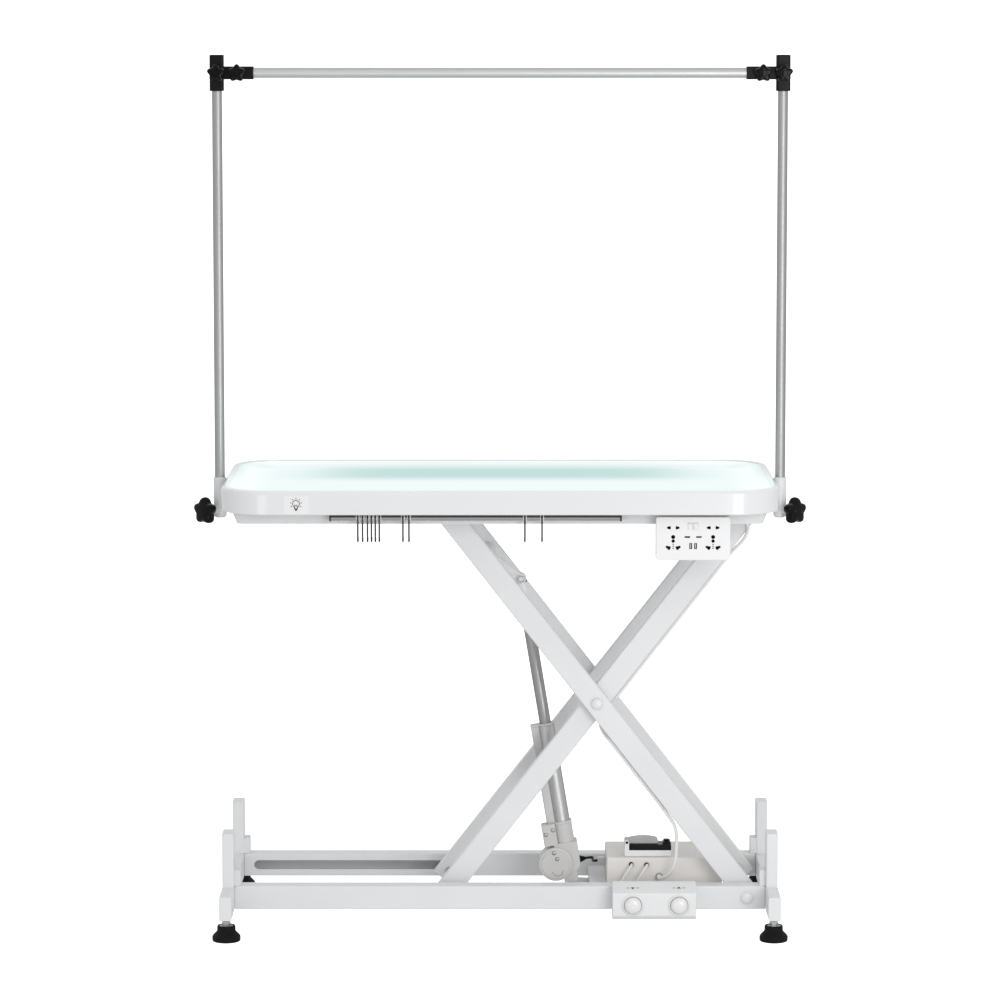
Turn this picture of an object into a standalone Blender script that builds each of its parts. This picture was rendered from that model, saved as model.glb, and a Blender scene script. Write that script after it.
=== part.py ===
"""Electric pet grooming table with a scissor lift, a lit top and an overhead bar.

Metres, +Z up. X runs along the table, -Y is the side where the groomer stands.
The origin is on the floor under the middle of the table, which is raised to its full height.
"""

import math

import bmesh
import bpy
from mathutils import Matrix, Vector
from mathutils.geometry import convex_hull_2d

# Fits and facets
GAP = 0.0003
RUNNING_GAP = 0.0004
PIN_FACETS = 16
TUBE_FACETS = 20
CORNER_STEPS = 2
RIM_STEPS = 7

# Floor frame
BASE_LENGTH = 1.194
BEAM_LENGTH = 0.66
BEAM_WIDTH = 0.028
FLOOR_GAP = 0.053
RAIL_HEIGHT = 0.053
RAIL_DEPTH = 0.045
RAIL_WALL = 0.003
RAIL_GAUGE = 0.32
BASE_SLOT_HEIGHT = 0.021
POST_DEPTH = 0.060
POST_CLEARANCE = 0.003
GUSSET_LENGTH = 0.013
GUSSET_HEIGHT = 0.036
EDGE_ROUND = 0.003

# Adjustable feet
FOOT_RADIUS = 0.031
FOOT_TOP_RADIUS = 0.021
FOOT_HEIGHT = 0.040
FOOT_NUT_RADIUS = 0.011
FOOT_STEM_RADIUS = 0.005
FOOT_STEM_DEPTH = 0.018
FOOT_INSET = 0.040

# Scissor lift
ARM_LENGTH = 1.0978
ARM_WIDTH = 0.051
ARM_THICKNESS = 0.025
ARM_WALL = 0.0025
ARM_EDGE = 0.002
ARM_TAIL = 0.024
ARM_SIDE_GAP = 0.010
ARM_LANE_GAP = 0.002
LIFT_ANGLE = math.radians(52.05)
LIFT_SWING = math.radians(45.0)
FIXED_PIVOT_X = 0.556
PIN_RADIUS = 0.010
PIN_CAP_RADIUS = 0.0125
PIN_CAP_HEIGHT = 0.006
AXLE_RADIUS = 0.007
ROLLER_WIDTH = 0.024
ROLLER_SIDE_GAP = 0.008
SLOT_MARGIN = 0.030

# Linear actuator
ACTUATOR_FOOT = (0.167, 0.062)
HEAD_ALONG = 0.8632
HEAD_ABOVE = 0.0290
TUBE_RADIUS = 0.019
TUBE_TOP = 0.383
TUBE_BOTTOM = 0.060
TUBE_COLLAR = 0.012
CHANNEL_WIDTH = 0.017
CHANNEL_HALF_DEPTH = 0.012
ROD_RADIUS = 0.0130
ROD_END_ROOM = 0.012
HEAD_PIN_RADIUS = 0.006
HEAD_EYE_RADIUS = 0.015
FOOT_EYE_RADIUS = 0.016
EAR_THICKNESS = 0.006
GEAR_RADIUS = 0.038
GEAR_ALONG = 0.063
GEAR_OFFSET = 0.029
GEAR_FRONT = 0.030
GEAR_BACK = 0.024
GEAR_HUB_RADIUS = 0.027
HOUSING_TOP = 0.175
HOUSING_HALF_WIDTH = 0.027
MOTOR_RADIUS = 0.029
MOTOR_LENGTH = 0.062
CROSS_TUBE_ALONG = 0.950
CROSS_TUBE_RADIUS = 0.016

# Actuator beam with its tray
BEAM_X = (0.205, 0.243)
ACTUATOR_BEAM_HEIGHT = 0.026
TRAY_THICKNESS = 0.003

# Control box, breaker and pedal box
BOX_LENGTH = 0.254
BOX_DEPTH = 0.192
BOX_HEIGHT = 0.092
BOX_EDGE = 0.008
GLAND_RADIUS = 0.0065
GLAND_LENGTH = 0.006
POWER_GLAND = (0.362, 0.106)
PEDAL_GLANDS = ((0.2986, 0.1338), (0.3333, 0.1329))
BREAKER_X = (0.284, 0.390)
BREAKER_Y = (-0.082, -0.034)
BREAKER_BASE_HEIGHT = 0.014
BREAKER_BODY_HEIGHT = 0.013
BREAKER_HINGE_RADIUS = 0.005
BREAKER_PIN_RADIUS = 0.002
LID_LENGTH = 0.066
LID_HEIGHT = 0.015
PEDAL_X = (0.2517, 0.4398)
PEDAL_DEPTH = 0.057
PEDAL_TOP = 0.1185
PEDAL_FRONT_TOP = 0.101
PEDAL_BOTTOM = 0.040
PEDAL_SHELF = 0.017
PEDAL_CHAMFER = 0.010
BUTTON_X = (0.2975, 0.4010)
BUTTON_Z = 0.0745
BUTTON_RADIUS = 0.0190
BUTTON_PROUD = 0.017
BUTTON_SEAT = 0.006
BUTTON_TRAVEL = 0.004
BEZEL_RADIUS = 0.0245
BEZEL_PROUD = 0.004

# Table top
TABLE_LENGTH = 1.24
TABLE_DEPTH = 0.65
TABLE_CORNER = 0.11
RIM_HEIGHT = 0.0534
RIM_DROP = 0.0105
RIM_WALL = 0.004
RIM_LIP = 0.018
RIM_SLOPE_END = 0.062
RIM_RECESS = 0.0140
RIM_INNER = 0.080
RIM_RIB = 0.006
PANEL_THICKNESS = 0.005
LED_THICKNESS = 0.002
LED_HEIGHT = 0.010
DECK_CLEARANCE = 0.0015
PAN_WALL = 0.002
PAN_SIDE_INSET = 0.063
PAN_END_INSET = 0.0255
PAN_END_LEAN = 0.0115
PAN_SKIRT = 0.0272
PAN_CORNER = 0.015
TRACK_DEPTH = 0.045
TRACK_WALL = 0.0025
TRACK_ROLLER_RADIUS = 0.0129
TRACK_SLOT_HEIGHT = 0.018

# Hook rail
HOOK_RAIL_X = (-0.377, 0.269)
HOOK_RAIL_RADIUS = 0.006
HOOK_RAIL_STANDOFF = 0.022
HOOK_RAIL_DROP = 0.0125
STANDOFF_INSET = 0.012
STANDOFF_RADIUS = 0.004
HOOK_X = (-0.314, 0.055)
HOOK_WIRE = 0.0013
HOOK_LENGTH = 0.036
HOOK_CURL = 0.006

# Socket box
SOCKET_X = (0.344, 0.508)
SOCKET_DEPTH = 0.040
SOCKET_HEIGHT = 0.094
SOCKET_TOP_DROP = 0.0125
SOCKET_EDGE = 0.004
ROCKER_SIZE = (0.0105, 0.017)
ROCKER_SPACING = 0.0125
ROCKER_DROP = 0.0150
ROCKER_DEPTH = 0.007
ROCKER_PROUD = 0.003
OUTLET_DEPTH = 0.002

# Overhead bar
POLE_RADIUS = 0.0100
POLE_WALL = 0.0015
POLE_TOP = 1.960
POLE_TAIL = 0.002
CLAMP_RADIUS = 0.0140
CLAMP_GAP = 0.0025
CLAMP_RISE = 0.048
CLAMP_FALL = 0.042
CLAMP_BAR = 0.014
CLAMP_KNOB_HEIGHT = 0.016
CORNER_WIDTH = 0.0315
CORNER_HEIGHT = 0.081
CORNER_ARM_LENGTH = 0.067
CORNER_ARM_WIDTH = 0.029
CORNER_ARM_RISE = 0.0405
CORNER_WALL = 0.004
BOSS_RADIUS = 0.009
BOSS_LENGTH = 0.006
KNOB_RADIUS = 0.0205
KNOB_THICKNESS = 0.016
CLAMP_KNOB_RADIUS = 0.0285
CLAMP_KNOB_THICKNESS = 0.020
KNOB_LOBES = 5
KNOB_LOBE_DEPTH = 0.15
KNOB_POINTS = 20
KNOB_HUB_RADIUS = 0.008
KNOB_HUB_LENGTH = 0.008
SCREW_RADIUS = 0.0038
ARM_KNOB_INSET = 0.036

# Cables
POWER_RADIUS = 0.0040
SIGNAL_RADIUS = 0.00275
MOTOR_CABLE_RADIUS = 0.0030
CABLE_POINT_SPACING = 2.5
CLIP_BELOW_CENTRE = 0.094
CLIP_ABOVE_CENTRE = 0.051
CABLE_ENTRY = 0.030
CABLE_LOOP_RISE = 0.065
CABLE_LOOP_REACH = 0.037
PEDAL_CABLE_SHIFT = -0.032

# Levels and places that follow from the sizes above
RAIL_INNER = RAIL_GAUGE / 2
RAIL_OUTER = RAIL_INNER + RAIL_DEPTH
RAIL_TOP = FLOOR_GAP + RAIL_HEIGHT
RAIL_MID = FLOOR_GAP + RAIL_HEIGHT / 2
END_X = BASE_LENGTH / 2
ARM_A_OUT = RAIL_INNER - ARM_SIDE_GAP
ARM_A_IN = ARM_A_OUT - ARM_THICKNESS
ARM_B_OUT = ARM_A_IN - ARM_LANE_GAP
ARM_B_IN = ARM_B_OUT - ARM_THICKNESS
ROLLER_X = FIXED_PIVOT_X - ARM_LENGTH * math.cos(LIFT_ANGLE)
TOP_PIVOT_Z = RAIL_MID + ARM_LENGTH * math.sin(LIFT_ANGLE)
LOW_ANGLE = LIFT_ANGLE - LIFT_SWING
LOW_ROLLER_X = FIXED_PIVOT_X - ARM_LENGTH * math.cos(LOW_ANGLE)
LIFT_TRAVEL = ARM_LENGTH * (math.sin(LIFT_ANGLE) - math.sin(LOW_ANGLE))
PAN_DEPTH = TABLE_DEPTH - 2 * PAN_SIDE_INSET
PAN_LENGTH = TABLE_LENGTH - 2 * PAN_END_INSET
PAN_BOTTOM_LENGTH = PAN_LENGTH - 2 * PAN_END_LEAN
DECK_UNDER = TOP_PIVOT_Z + ARM_WIDTH / 2 + DECK_CLEARANCE
DECK_TOP = DECK_UNDER + PAN_WALL
RIM_BOTTOM = DECK_UNDER - RIM_DROP
RIM_TOP = RIM_BOTTOM + RIM_HEIGHT
PAN_BOTTOM = RIM_BOTTOM - PAN_SKIRT
PAN_FRONT = -PAN_DEPTH / 2
LEDGE_Z = RIM_TOP - RIM_RECESS - PANEL_THICKNESS - GAP
POST_TOP = RIM_BOTTOM - LIFT_TRAVEL - POST_CLEARANCE
TRAY_BOTTOM = FLOOR_GAP + GAP
TRAY_TOP = TRAY_BOTTOM + TRAY_THICKNESS
BOX_LEFT = BEAM_X[1] + GAP
BOX_BOTTOM = TRAY_TOP + GAP
BOX_TOP = BOX_BOTTOM + BOX_HEIGHT
BOX_FRONT = -BOX_DEPTH / 2
PEDAL_BACK = -RAIL_OUTER - GAP
PEDAL_FRONT = PEDAL_BACK - PEDAL_DEPTH
POLE_X = TABLE_LENGTH / 2 + CLAMP_GAP + CLAMP_RADIUS
CLAMP_TOP = RIM_BOTTOM + CLAMP_RISE
CLAMP_BOTTOM = RIM_BOTTOM - CLAMP_FALL
CLAMP_KNOB_Z = CLAMP_BOTTOM + CLAMP_KNOB_HEIGHT
CORNER_BOTTOM = POLE_TOP - CORNER_HEIGHT + CORNER_WALL
BAR_Z = CORNER_BOTTOM + CORNER_ARM_RISE
CORNER_ARM_END = POLE_X - CORNER_WIDTH / 2 - CORNER_ARM_LENGTH
HOOK_RAIL_Y = PAN_FRONT - HOOK_RAIL_STANDOFF
HOOK_RAIL_Z = RIM_BOTTOM - HOOK_RAIL_DROP
SOCKET_BACK = PAN_FRONT - GAP
SOCKET_FRONT = SOCKET_BACK - SOCKET_DEPTH
SOCKET_TOP = RIM_BOTTOM - SOCKET_TOP_DROP
SOCKET_MID = sum(SOCKET_X) / 2
ROCKER_Z = SOCKET_TOP - ROCKER_DROP


# Lift geometry in the X-Z plane
def arm_a_axes(angle):
    """Unit vectors along arm A, from its floor pivot up, and square to it on its upper side."""
    return Vector((-math.cos(angle), math.sin(angle))), Vector((math.sin(angle), math.cos(angle)))


def on_arm_a(along, above, angle=LIFT_ANGLE):
    """X and Z of a place on arm A, counted from its floor pivot."""
    up, square = arm_a_axes(angle)
    return Vector((FIXED_PIVOT_X, RAIL_MID)) + up * along + square * above


def on_arm_b(along, above):
    """X and Z of a place on arm B, counted from its floor roller, at rest."""
    up = Vector((math.cos(LIFT_ANGLE), math.sin(LIFT_ANGLE)))
    square = Vector((-up.y, up.x))
    return Vector((ROLLER_X, RAIL_MID)) + up * along + square * above


ACTUATOR_PIVOT = Vector(ACTUATOR_FOOT)
HEAD = on_arm_a(HEAD_ALONG, HEAD_ABOVE)
HEAD_LOW = on_arm_a(HEAD_ALONG, HEAD_ABOVE, LOW_ANGLE)
ACTUATOR_LONG = (HEAD - ACTUATOR_PIVOT).length
ACTUATOR_SHORT = (HEAD_LOW - ACTUATOR_PIVOT).length
ACTUATOR_STROKE = ACTUATOR_LONG - ACTUATOR_SHORT
ACTUATOR_UP = (HEAD - ACTUATOR_PIVOT).normalized()
ACTUATOR_SIDE = Vector((-ACTUATOR_UP.y, ACTUATOR_UP.x))
GEAR_CENTRE = ACTUATOR_PIVOT + ACTUATOR_UP * GEAR_ALONG + ACTUATOR_SIDE * GEAR_OFFSET


def on_actuator(along, aside=0.0):
    """X and Z of a place on the actuator, counted from its lower pin, aside to the left."""
    return ACTUATOR_PIVOT + ACTUATOR_UP * along + ACTUATOR_SIDE * aside


def head_slot_end():
    """Along and above on arm A of the far end of the slot that the rod's pin works in.

    The rod swings and shortens at steady rates, so its pin leaves the arm's own arc halfway down.
    """
    start = math.atan2(ACTUATOR_UP.y, -ACTUATOR_UP.x)
    low = HEAD_LOW - ACTUATOR_PIVOT
    swing = start - math.atan2(low.y, -low.x)
    turn = start - swing / 2
    reach = (ACTUATOR_LONG + ACTUATOR_SHORT) / 2
    pin = ACTUATOR_PIVOT + Vector((-math.cos(turn), math.sin(turn))) * reach
    up, square = arm_a_axes(LIFT_ANGLE - LIFT_SWING / 2)
    offset = pin - Vector((FIXED_PIVOT_X, RAIL_MID))
    return offset.dot(up), offset.dot(square)


# Finishes
FINISHES = {
    "white_paint": ((0.80, 0.80, 0.82, 1.0), 0.35, 0.0),
    "rim_plastic": ((0.86, 0.88, 0.89, 1.0), 0.18, 0.0),
    "lit_panel": ((0.70, 0.90, 0.88, 1.0), 0.30, 0.0),
    "light_strip": ((0.90, 0.96, 0.95, 1.0), 0.40, 0.0),
    "white_plastic": ((0.83, 0.83, 0.84, 1.0), 0.30, 0.0),
    "beige_plastic": ((0.68, 0.64, 0.59, 1.0), 0.45, 0.0),
    "grey_plastic": ((0.36, 0.36, 0.35, 1.0), 0.45, 0.0),
    "black_plastic": ((0.012, 0.012, 0.013, 1.0), 0.45, 0.0),
    "black_rubber": ((0.015, 0.015, 0.015, 1.0), 0.75, 0.0),
    "aluminium": ((0.62, 0.62, 0.63, 1.0), 0.32, 1.0),
    "cast_grey": ((0.45, 0.44, 0.43, 1.0), 0.45, 0.3),
    "steel": ((0.52, 0.52, 0.53, 1.0), 0.28, 1.0),
    "cable_white": ((0.78, 0.78, 0.77, 1.0), 0.45, 0.0),
    "cable_black": ((0.015, 0.015, 0.016, 1.0), 0.5, 0.0),
}


def finish_material(finish):
    """The material of one finish, made on first use."""
    if finish in bpy.data.materials:
        return bpy.data.materials[finish]
    colour, roughness, metallic = FINISHES[finish]
    material = bpy.data.materials.new(finish)
    material.use_nodes = True
    shader = material.node_tree.nodes["Principled BSDF"]
    shader.inputs["Base Color"].default_value = colour
    shader.inputs["Roughness"].default_value = roughness
    shader.inputs["Metallic"].default_value = metallic
    return material


# Outlines and lofts
def circle(radius, centre=(0.0, 0.0), facets=PIN_FACETS):
    """Points of a circle, anticlockwise."""
    turns = [2 * math.pi * k / facets for k in range(facets)]
    return [(centre[0] + radius * math.cos(t), centre[1] + radius * math.sin(t)) for t in turns]


def rounded_rectangle(width, height, radius, centre=(0.0, 0.0), steps=CORNER_STEPS):
    """Points of a rectangle with round corners, anticlockwise."""
    points = []
    for corner, (sx, sy) in enumerate(((1, 1), (-1, 1), (-1, -1), (1, -1))):
        middle = (centre[0] + sx * (width / 2 - radius), centre[1] + sy * (height / 2 - radius))
        for k in range(steps + 1):
            turn = math.pi / 2 * (corner + k / steps)
            points.append((middle[0] + radius * math.cos(turn), middle[1] + radius * math.sin(turn)))
    return points


def hull(*circles):
    """Outline of the smallest plate that holds these circles, each a list of points."""
    points = [Vector(p) for ring in circles for p in ring]
    return [tuple(points[k]) for k in convex_hull_2d(points)]


def slot(start, end, radius, facets=PIN_FACETS):
    """Outline of a slot with round ends between two points."""
    return hull(circle(radius, start, facets), circle(radius, end, facets))


def placed(outline, axis, level):
    """A flat outline as points in space, across an axis at one level."""
    if axis == "X":
        return [Vector((level, a, b)) for a, b in outline]
    if axis == "Y":
        return [Vector((a, level, b)) for a, b in outline]
    return [Vector((a, b, level)) for a, b in outline]


def loft(loops, closed=False):
    """A mesh through loops of points, joined end to end if closed and capped otherwise."""
    mesh = bmesh.new()
    rings = [[mesh.verts.new(point) for point in loop] for loop in loops]
    pairs = list(zip(rings, rings[1:]))
    if closed:
        pairs.append((rings[-1], rings[0]))
    count = len(rings[0])
    for low, high in pairs:
        for k in range(count):
            mesh.faces.new((low[k], low[(k + 1) % count], high[(k + 1) % count], high[k]))
    if not closed:
        mesh.faces.new(list(reversed(rings[0])))
        mesh.faces.new(rings[-1])
    bmesh.ops.recalc_face_normals(mesh, faces=mesh.faces)
    return mesh


def prism(outline, axis, low, high):
    """An outline carried along an axis from one level to another."""
    return loft([placed(outline, axis, low), placed(outline, axis, high)])


def turned(profile, origin, direction, facets=PIN_FACETS, closed=False):
    """A profile of radius and height turned about an axis through origin."""
    axis = Vector(direction).normalized()
    across = axis.orthogonal().normalized()
    other = axis.cross(across)
    loops = []
    for radius, height in profile:
        middle = Vector(origin) + axis * height
        loops.append([middle + across * a + other * b for a, b in circle(radius, facets=facets)])
    return loft(loops, closed)


def flat(point, y=0.0):
    """A place in the X-Z plane as a point in space."""
    return Vector((point[0], y, point[1]))


# Objects
def add_piece(name, mesh, finish, body):
    """A named object with a finish, carried by the empty on its body's joint."""
    data = bpy.data.meshes.new(name)
    mesh.to_mesh(data)
    mesh.free()
    data.shade_smooth()
    data.set_sharp_from_angle(angle=math.radians(38))
    data.materials.append(finish_material(finish))
    piece = bpy.data.objects.new(name, data)
    bpy.context.scene.collection.objects.link(piece)
    carry(piece, body)
    return piece


def carry(piece, body):
    """Parents a piece to a body's empty without moving it."""
    piece.parent = body
    piece.matrix_parent_inverse = Matrix.Translation(body.location).inverted()


def add_body(name, place):
    """An empty on a moving body's joint axis."""
    body = bpy.data.objects.new(name, None)
    body.empty_display_size = 0.03
    body.location = place
    bpy.context.scene.collection.objects.link(body)
    return body


def combine(piece, mesh, operation):
    """Joins a mesh to a piece, or cuts it away, with a Boolean and a hidden helper."""
    number = len(piece.modifiers)
    data = bpy.data.meshes.new(f"{piece.name}_helper_{number}")
    mesh.to_mesh(data)
    mesh.free()
    helper = bpy.data.objects.new(data.name, data)
    helper.hide_render = True
    helper.display_type = "WIRE"
    bpy.context.scene.collection.objects.link(helper)
    carry(helper, piece.parent)
    boolean = piece.modifiers.new(f"{operation.lower()}_{number}", "BOOLEAN")
    boolean.operation = operation
    boolean.solver = "EXACT"
    boolean.object = helper


def join(piece, mesh):
    combine(piece, mesh, "UNION")


def cut(piece, mesh):
    combine(piece, mesh, "DIFFERENCE")


def soften(piece, width, segments=1):
    """Breaks a piece's sharp edges."""
    bevel = piece.modifiers.new("edges", "BEVEL")
    bevel.width = width
    bevel.segments = segments
    bevel.limit_method = "ANGLE"
    bevel.angle_limit = math.radians(50)


def clear_scene():
    for old in list(bpy.data.objects):
        bpy.data.objects.remove(old, do_unlink=True)


# Floor frame
def make_end_frame(side, body):
    """One end of the floor frame: a beam across, two rest posts and their gussets, welded."""
    name = "end_frame_left" if side < 0 else "end_frame_right"
    middle = side * (END_X + BEAM_WIDTH / 2)
    section = rounded_rectangle(BEAM_WIDTH, RAIL_HEIGHT, EDGE_ROUND, (middle, RAIL_MID))
    frame = add_piece(name, prism(section, "Y", -BEAM_LENGTH / 2, BEAM_LENGTH / 2), "white_paint", body)
    post_width = BEAM_WIDTH - 2 * EDGE_ROUND / 3
    sink = RAIL_HEIGHT / 3
    bore_size = BEAM_WIDTH - 2 * RAIL_WALL, RAIL_HEIGHT - 2 * RAIL_WALL
    for across in (-1, 1):
        post_middle = across * (RAIL_INNER + POST_DEPTH / 2)
        outline = rounded_rectangle(post_width, POST_DEPTH, EDGE_ROUND, (middle, post_middle))
        join(frame, prism(outline, "Z", RAIL_TOP - sink, POST_TOP))
        reach = GUSSET_LENGTH + BEAM_WIDTH / 2
        gusset_x = side * (END_X - GUSSET_LENGTH + reach / 2)
        gusset_y = across * (RAIL_INNER + RAIL_DEPTH / 2)
        block = rounded_rectangle(reach, RAIL_DEPTH - EDGE_ROUND, EDGE_ROUND / 3, (gusset_x, gusset_y), 1)
        join(frame, prism(block, "Z", RAIL_TOP + GAP, RAIL_TOP + GUSSET_HEIGHT))
    half = BEAM_LENGTH / 2
    bore = rounded_rectangle(*bore_size, EDGE_ROUND / 3, (middle, RAIL_MID), 1)
    cut(frame, prism(bore, "Y", RAIL_WALL - half, half + RAIL_WALL))
    for across in (-1, 1):
        post_middle = across * (RAIL_INNER + POST_DEPTH / 2)
        shaft = rounded_rectangle(
            bore_size[0] - EDGE_ROUND, POST_DEPTH - 2 * RAIL_WALL, EDGE_ROUND / 3, (middle, post_middle), 1
        )
        cut(frame, prism(shaft, "Z", RAIL_MID, POST_TOP - RAIL_WALL))
        foot_y = across * (half - FOOT_INSET)
        bore = circle(FOOT_STEM_RADIUS + GAP, (middle, foot_y))
        cut(frame, prism(bore, "Z", FLOOR_GAP - sink, FLOOR_GAP + FOOT_STEM_DEPTH + GAP))


def make_base_rail(side, body):
    """A floor rail: a tube with a slot along its inner wall for the roller's axle, and arm A's pin."""
    name = "base_rail_front" if side < 0 else "base_rail_rear"
    half = END_X - GAP
    middle = side * (RAIL_INNER + RAIL_DEPTH / 2)
    section = rounded_rectangle(RAIL_DEPTH, RAIL_HEIGHT, EDGE_ROUND, (middle, RAIL_MID))
    rail = add_piece(name, prism(section, "X", -half, half), "white_paint", body)
    inside = rounded_rectangle(
        RAIL_DEPTH - 2 * RAIL_WALL, RAIL_HEIGHT - 2 * RAIL_WALL, EDGE_ROUND / 3, (middle, RAIL_MID), 1
    )
    cut(rail, prism(inside, "X", -half - RAIL_WALL, half + RAIL_WALL))
    wall = sorted((side * (RAIL_INNER - RAIL_WALL), side * (RAIL_INNER + 2 * RAIL_WALL)))
    ends = (LOW_ROLLER_X - SLOT_MARGIN, RAIL_MID), (ROLLER_X + SLOT_MARGIN, RAIL_MID)
    cut(rail, prism(slot(*ends, BASE_SLOT_HEIGHT / 2), "Y", *wall))
    join(rail, pivot_pin(side, RAIL_OUTER, ARM_A_IN, PIN_CAP_RADIUS))
    if side < 0:
        for x, _ in PEDAL_GLANDS:
            hole = circle(SIGNAL_RADIUS + RUNNING_GAP, (pedal_cable_x(x), CABLE_CROSSING_Z), PIN_FACETS)
            cut(rail, prism(hole, "Y", -RAIL_OUTER - RAIL_WALL, -RAIL_INNER + RAIL_WALL))


def pivot_pin(side, outside, inside, cap_radius):
    """The floor pivot: a domed head outside the rail, and a shaft that carries arm A inside it."""
    profile = (
        (PIN_RADIUS, inside - 2 * GAP),
        (PIN_RADIUS, ARM_A_OUT + GAP),
        (cap_radius, ARM_A_OUT + GAP),
        (cap_radius, outside + PIN_CAP_HEIGHT / 3),
        (cap_radius * 0.85, outside + PIN_CAP_HEIGHT * 0.75),
        (cap_radius * 0.4, outside + PIN_CAP_HEIGHT),
    )
    return turned(profile, (FIXED_PIVOT_X, 0.0, RAIL_MID), (0, side, 0))


def make_foot(name, x, y, body):
    """An adjustable foot: a rubber pad under a nut, on a screw that goes up into the beam."""
    profile = (
        (FOOT_RADIUS - EDGE_ROUND, 0.0),
        (FOOT_RADIUS, EDGE_ROUND),
        (FOOT_RADIUS, FOOT_HEIGHT * 0.2),
        (FOOT_RADIUS * 0.86, FOOT_HEIGHT * 0.32),
        (FOOT_TOP_RADIUS, FOOT_HEIGHT * 0.85),
        (FOOT_TOP_RADIUS * 0.9, FOOT_HEIGHT),
        (FOOT_NUT_RADIUS, FOOT_HEIGHT),
        (FOOT_NUT_RADIUS, FLOOR_GAP - GAP),
        (FOOT_STEM_RADIUS, FLOOR_GAP - GAP),
        (FOOT_STEM_RADIUS, FLOOR_GAP + FOOT_STEM_DEPTH - GAP),
    )
    add_piece(name, turned(profile, (x, y, 0.0), (0, 0, 1), TUBE_FACETS), "black_rubber", body)


def make_actuator_beam(body):
    """The cross beam that carries the actuator's foot, with the tray that the control box stands on."""
    left, right = BEAM_X
    outline = (
        (left, TRAY_BOTTOM),
        (BOX_LEFT + BOX_LENGTH, TRAY_BOTTOM),
        (BOX_LEFT + BOX_LENGTH, TRAY_TOP),
        (right, TRAY_TOP),
        (right, TRAY_BOTTOM + ACTUATOR_BEAM_HEIGHT),
        (left, TRAY_BOTTOM + ACTUATOR_BEAM_HEIGHT),
    )
    half = RAIL_INNER - GAP
    beam = add_piece("actuator_beam", prism(outline, "Y", -half, half), "white_paint", body)
    eye = circle(FOOT_EYE_RADIUS, ACTUATOR_FOOT)
    root = ((left + EAR_THICKNESS, TRAY_BOTTOM + EDGE_ROUND),)
    top = ((left + EAR_THICKNESS, TRAY_BOTTOM + ACTUATOR_BEAM_HEIGHT - EDGE_ROUND),)
    for side in (-1, 1):
        near = side * (GEAR_BACK + RUNNING_GAP)
        far = side * (GEAR_BACK + RUNNING_GAP + EAR_THICKNESS)
        join(beam, prism(hull(eye, root, top), "Y", *sorted((near, far))))
    reach = GEAR_BACK + RUNNING_GAP + EAR_THICKNESS * 0.8
    join(beam, prism(circle(HEAD_PIN_RADIUS, ACTUATOR_FOOT), "Y", -reach, reach))


# Scissor arms
def arm_outline(place):
    """Side view of an arm: square at its floor end, round at its table end."""
    half = ARM_WIDTH / 2
    end = ARM_LENGTH
    points = [(-ARM_TAIL, half), (-ARM_TAIL, -half)]
    for k in range(9):
        turn = math.pi * (k / 8 - 0.5)
        points.append((end + half * math.cos(turn), half * math.sin(turn)))
    return [tuple(place(along, above)) for along, above in points]


def hollow_arm(arm, place, faces):
    """Opens an arm from its floor end, so that it is a tube."""
    half = ARM_WIDTH / 2 - ARM_WALL
    far = ARM_LENGTH - ARM_WIDTH / 2
    corners = ((-2 * ARM_TAIL, half), (-2 * ARM_TAIL, -half), (far, -half), (far, half))
    room = [tuple(place(along, above)) for along, above in corners]
    cut(arm, prism(room, "Y", faces[0] + ARM_WALL, faces[1] - ARM_WALL))


def make_arm_a(side, body):
    """An outer arm: it turns on the rail's pin, and carries the centre pin and the top roller's axle."""
    name = "arm_a_front" if side < 0 else "arm_a_rear"
    faces = sorted((side * ARM_A_IN, side * ARM_A_OUT))
    arm = add_piece(name, prism(arm_outline(on_arm_a), "Y", *faces), "white_paint", body)
    soften(arm, ARM_EDGE)
    hollow_arm(arm, on_arm_a, faces)
    pivot = circle(PIN_RADIUS + GAP, on_arm_a(0.0, 0.0))
    cut(arm, prism(pivot, "Y", faces[0] - ARM_EDGE, faces[1] + ARM_EDGE))
    centre = flat(on_arm_a(ARM_LENGTH / 2, 0.0))
    pin = (
        (PIN_RADIUS, ARM_B_IN - ARM_EDGE),
        (PIN_RADIUS, ARM_A_OUT - ARM_EDGE),
        (PIN_CAP_RADIUS, ARM_A_OUT - ARM_EDGE),
        (PIN_CAP_RADIUS, ARM_A_OUT + PIN_CAP_HEIGHT / 3),
        (PIN_CAP_RADIUS * 0.85, ARM_A_OUT + PIN_CAP_HEIGHT * 0.75),
        (PIN_CAP_RADIUS * 0.4, ARM_A_OUT + PIN_CAP_HEIGHT),
    )
    join(arm, turned(pin, centre, (0, side, 0)))
    axle = sorted((side * (ARM_A_OUT - ARM_EDGE), side * axle_end()))
    join(arm, prism(circle(AXLE_RADIUS, on_arm_a(ARM_LENGTH, 0.0)), "Y", *axle))


def axle_end():
    """How far out the roller axles reach."""
    return RAIL_INNER + ROLLER_SIDE_GAP + ROLLER_WIDTH + EDGE_ROUND


def make_arm_b(side, body):
    """An inner arm: it turns on the floor axle, the centre pin and the table's hinge pin."""
    name = "arm_b_front" if side < 0 else "arm_b_rear"
    faces = sorted((side * ARM_B_IN, side * ARM_B_OUT))
    arm = add_piece(name, prism(arm_outline(on_arm_b), "Y", *faces), "white_paint", body)
    soften(arm, ARM_EDGE)
    hollow_arm(arm, on_arm_b, faces)
    for along, radius in ((0.0, AXLE_RADIUS), (ARM_LENGTH / 2, PIN_RADIUS), (ARM_LENGTH, PIN_RADIUS)):
        hole = circle(radius + GAP, on_arm_b(along, 0.0))
        cut(arm, prism(hole, "Y", faces[0] - ARM_EDGE, faces[1] + ARM_EDGE))


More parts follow.
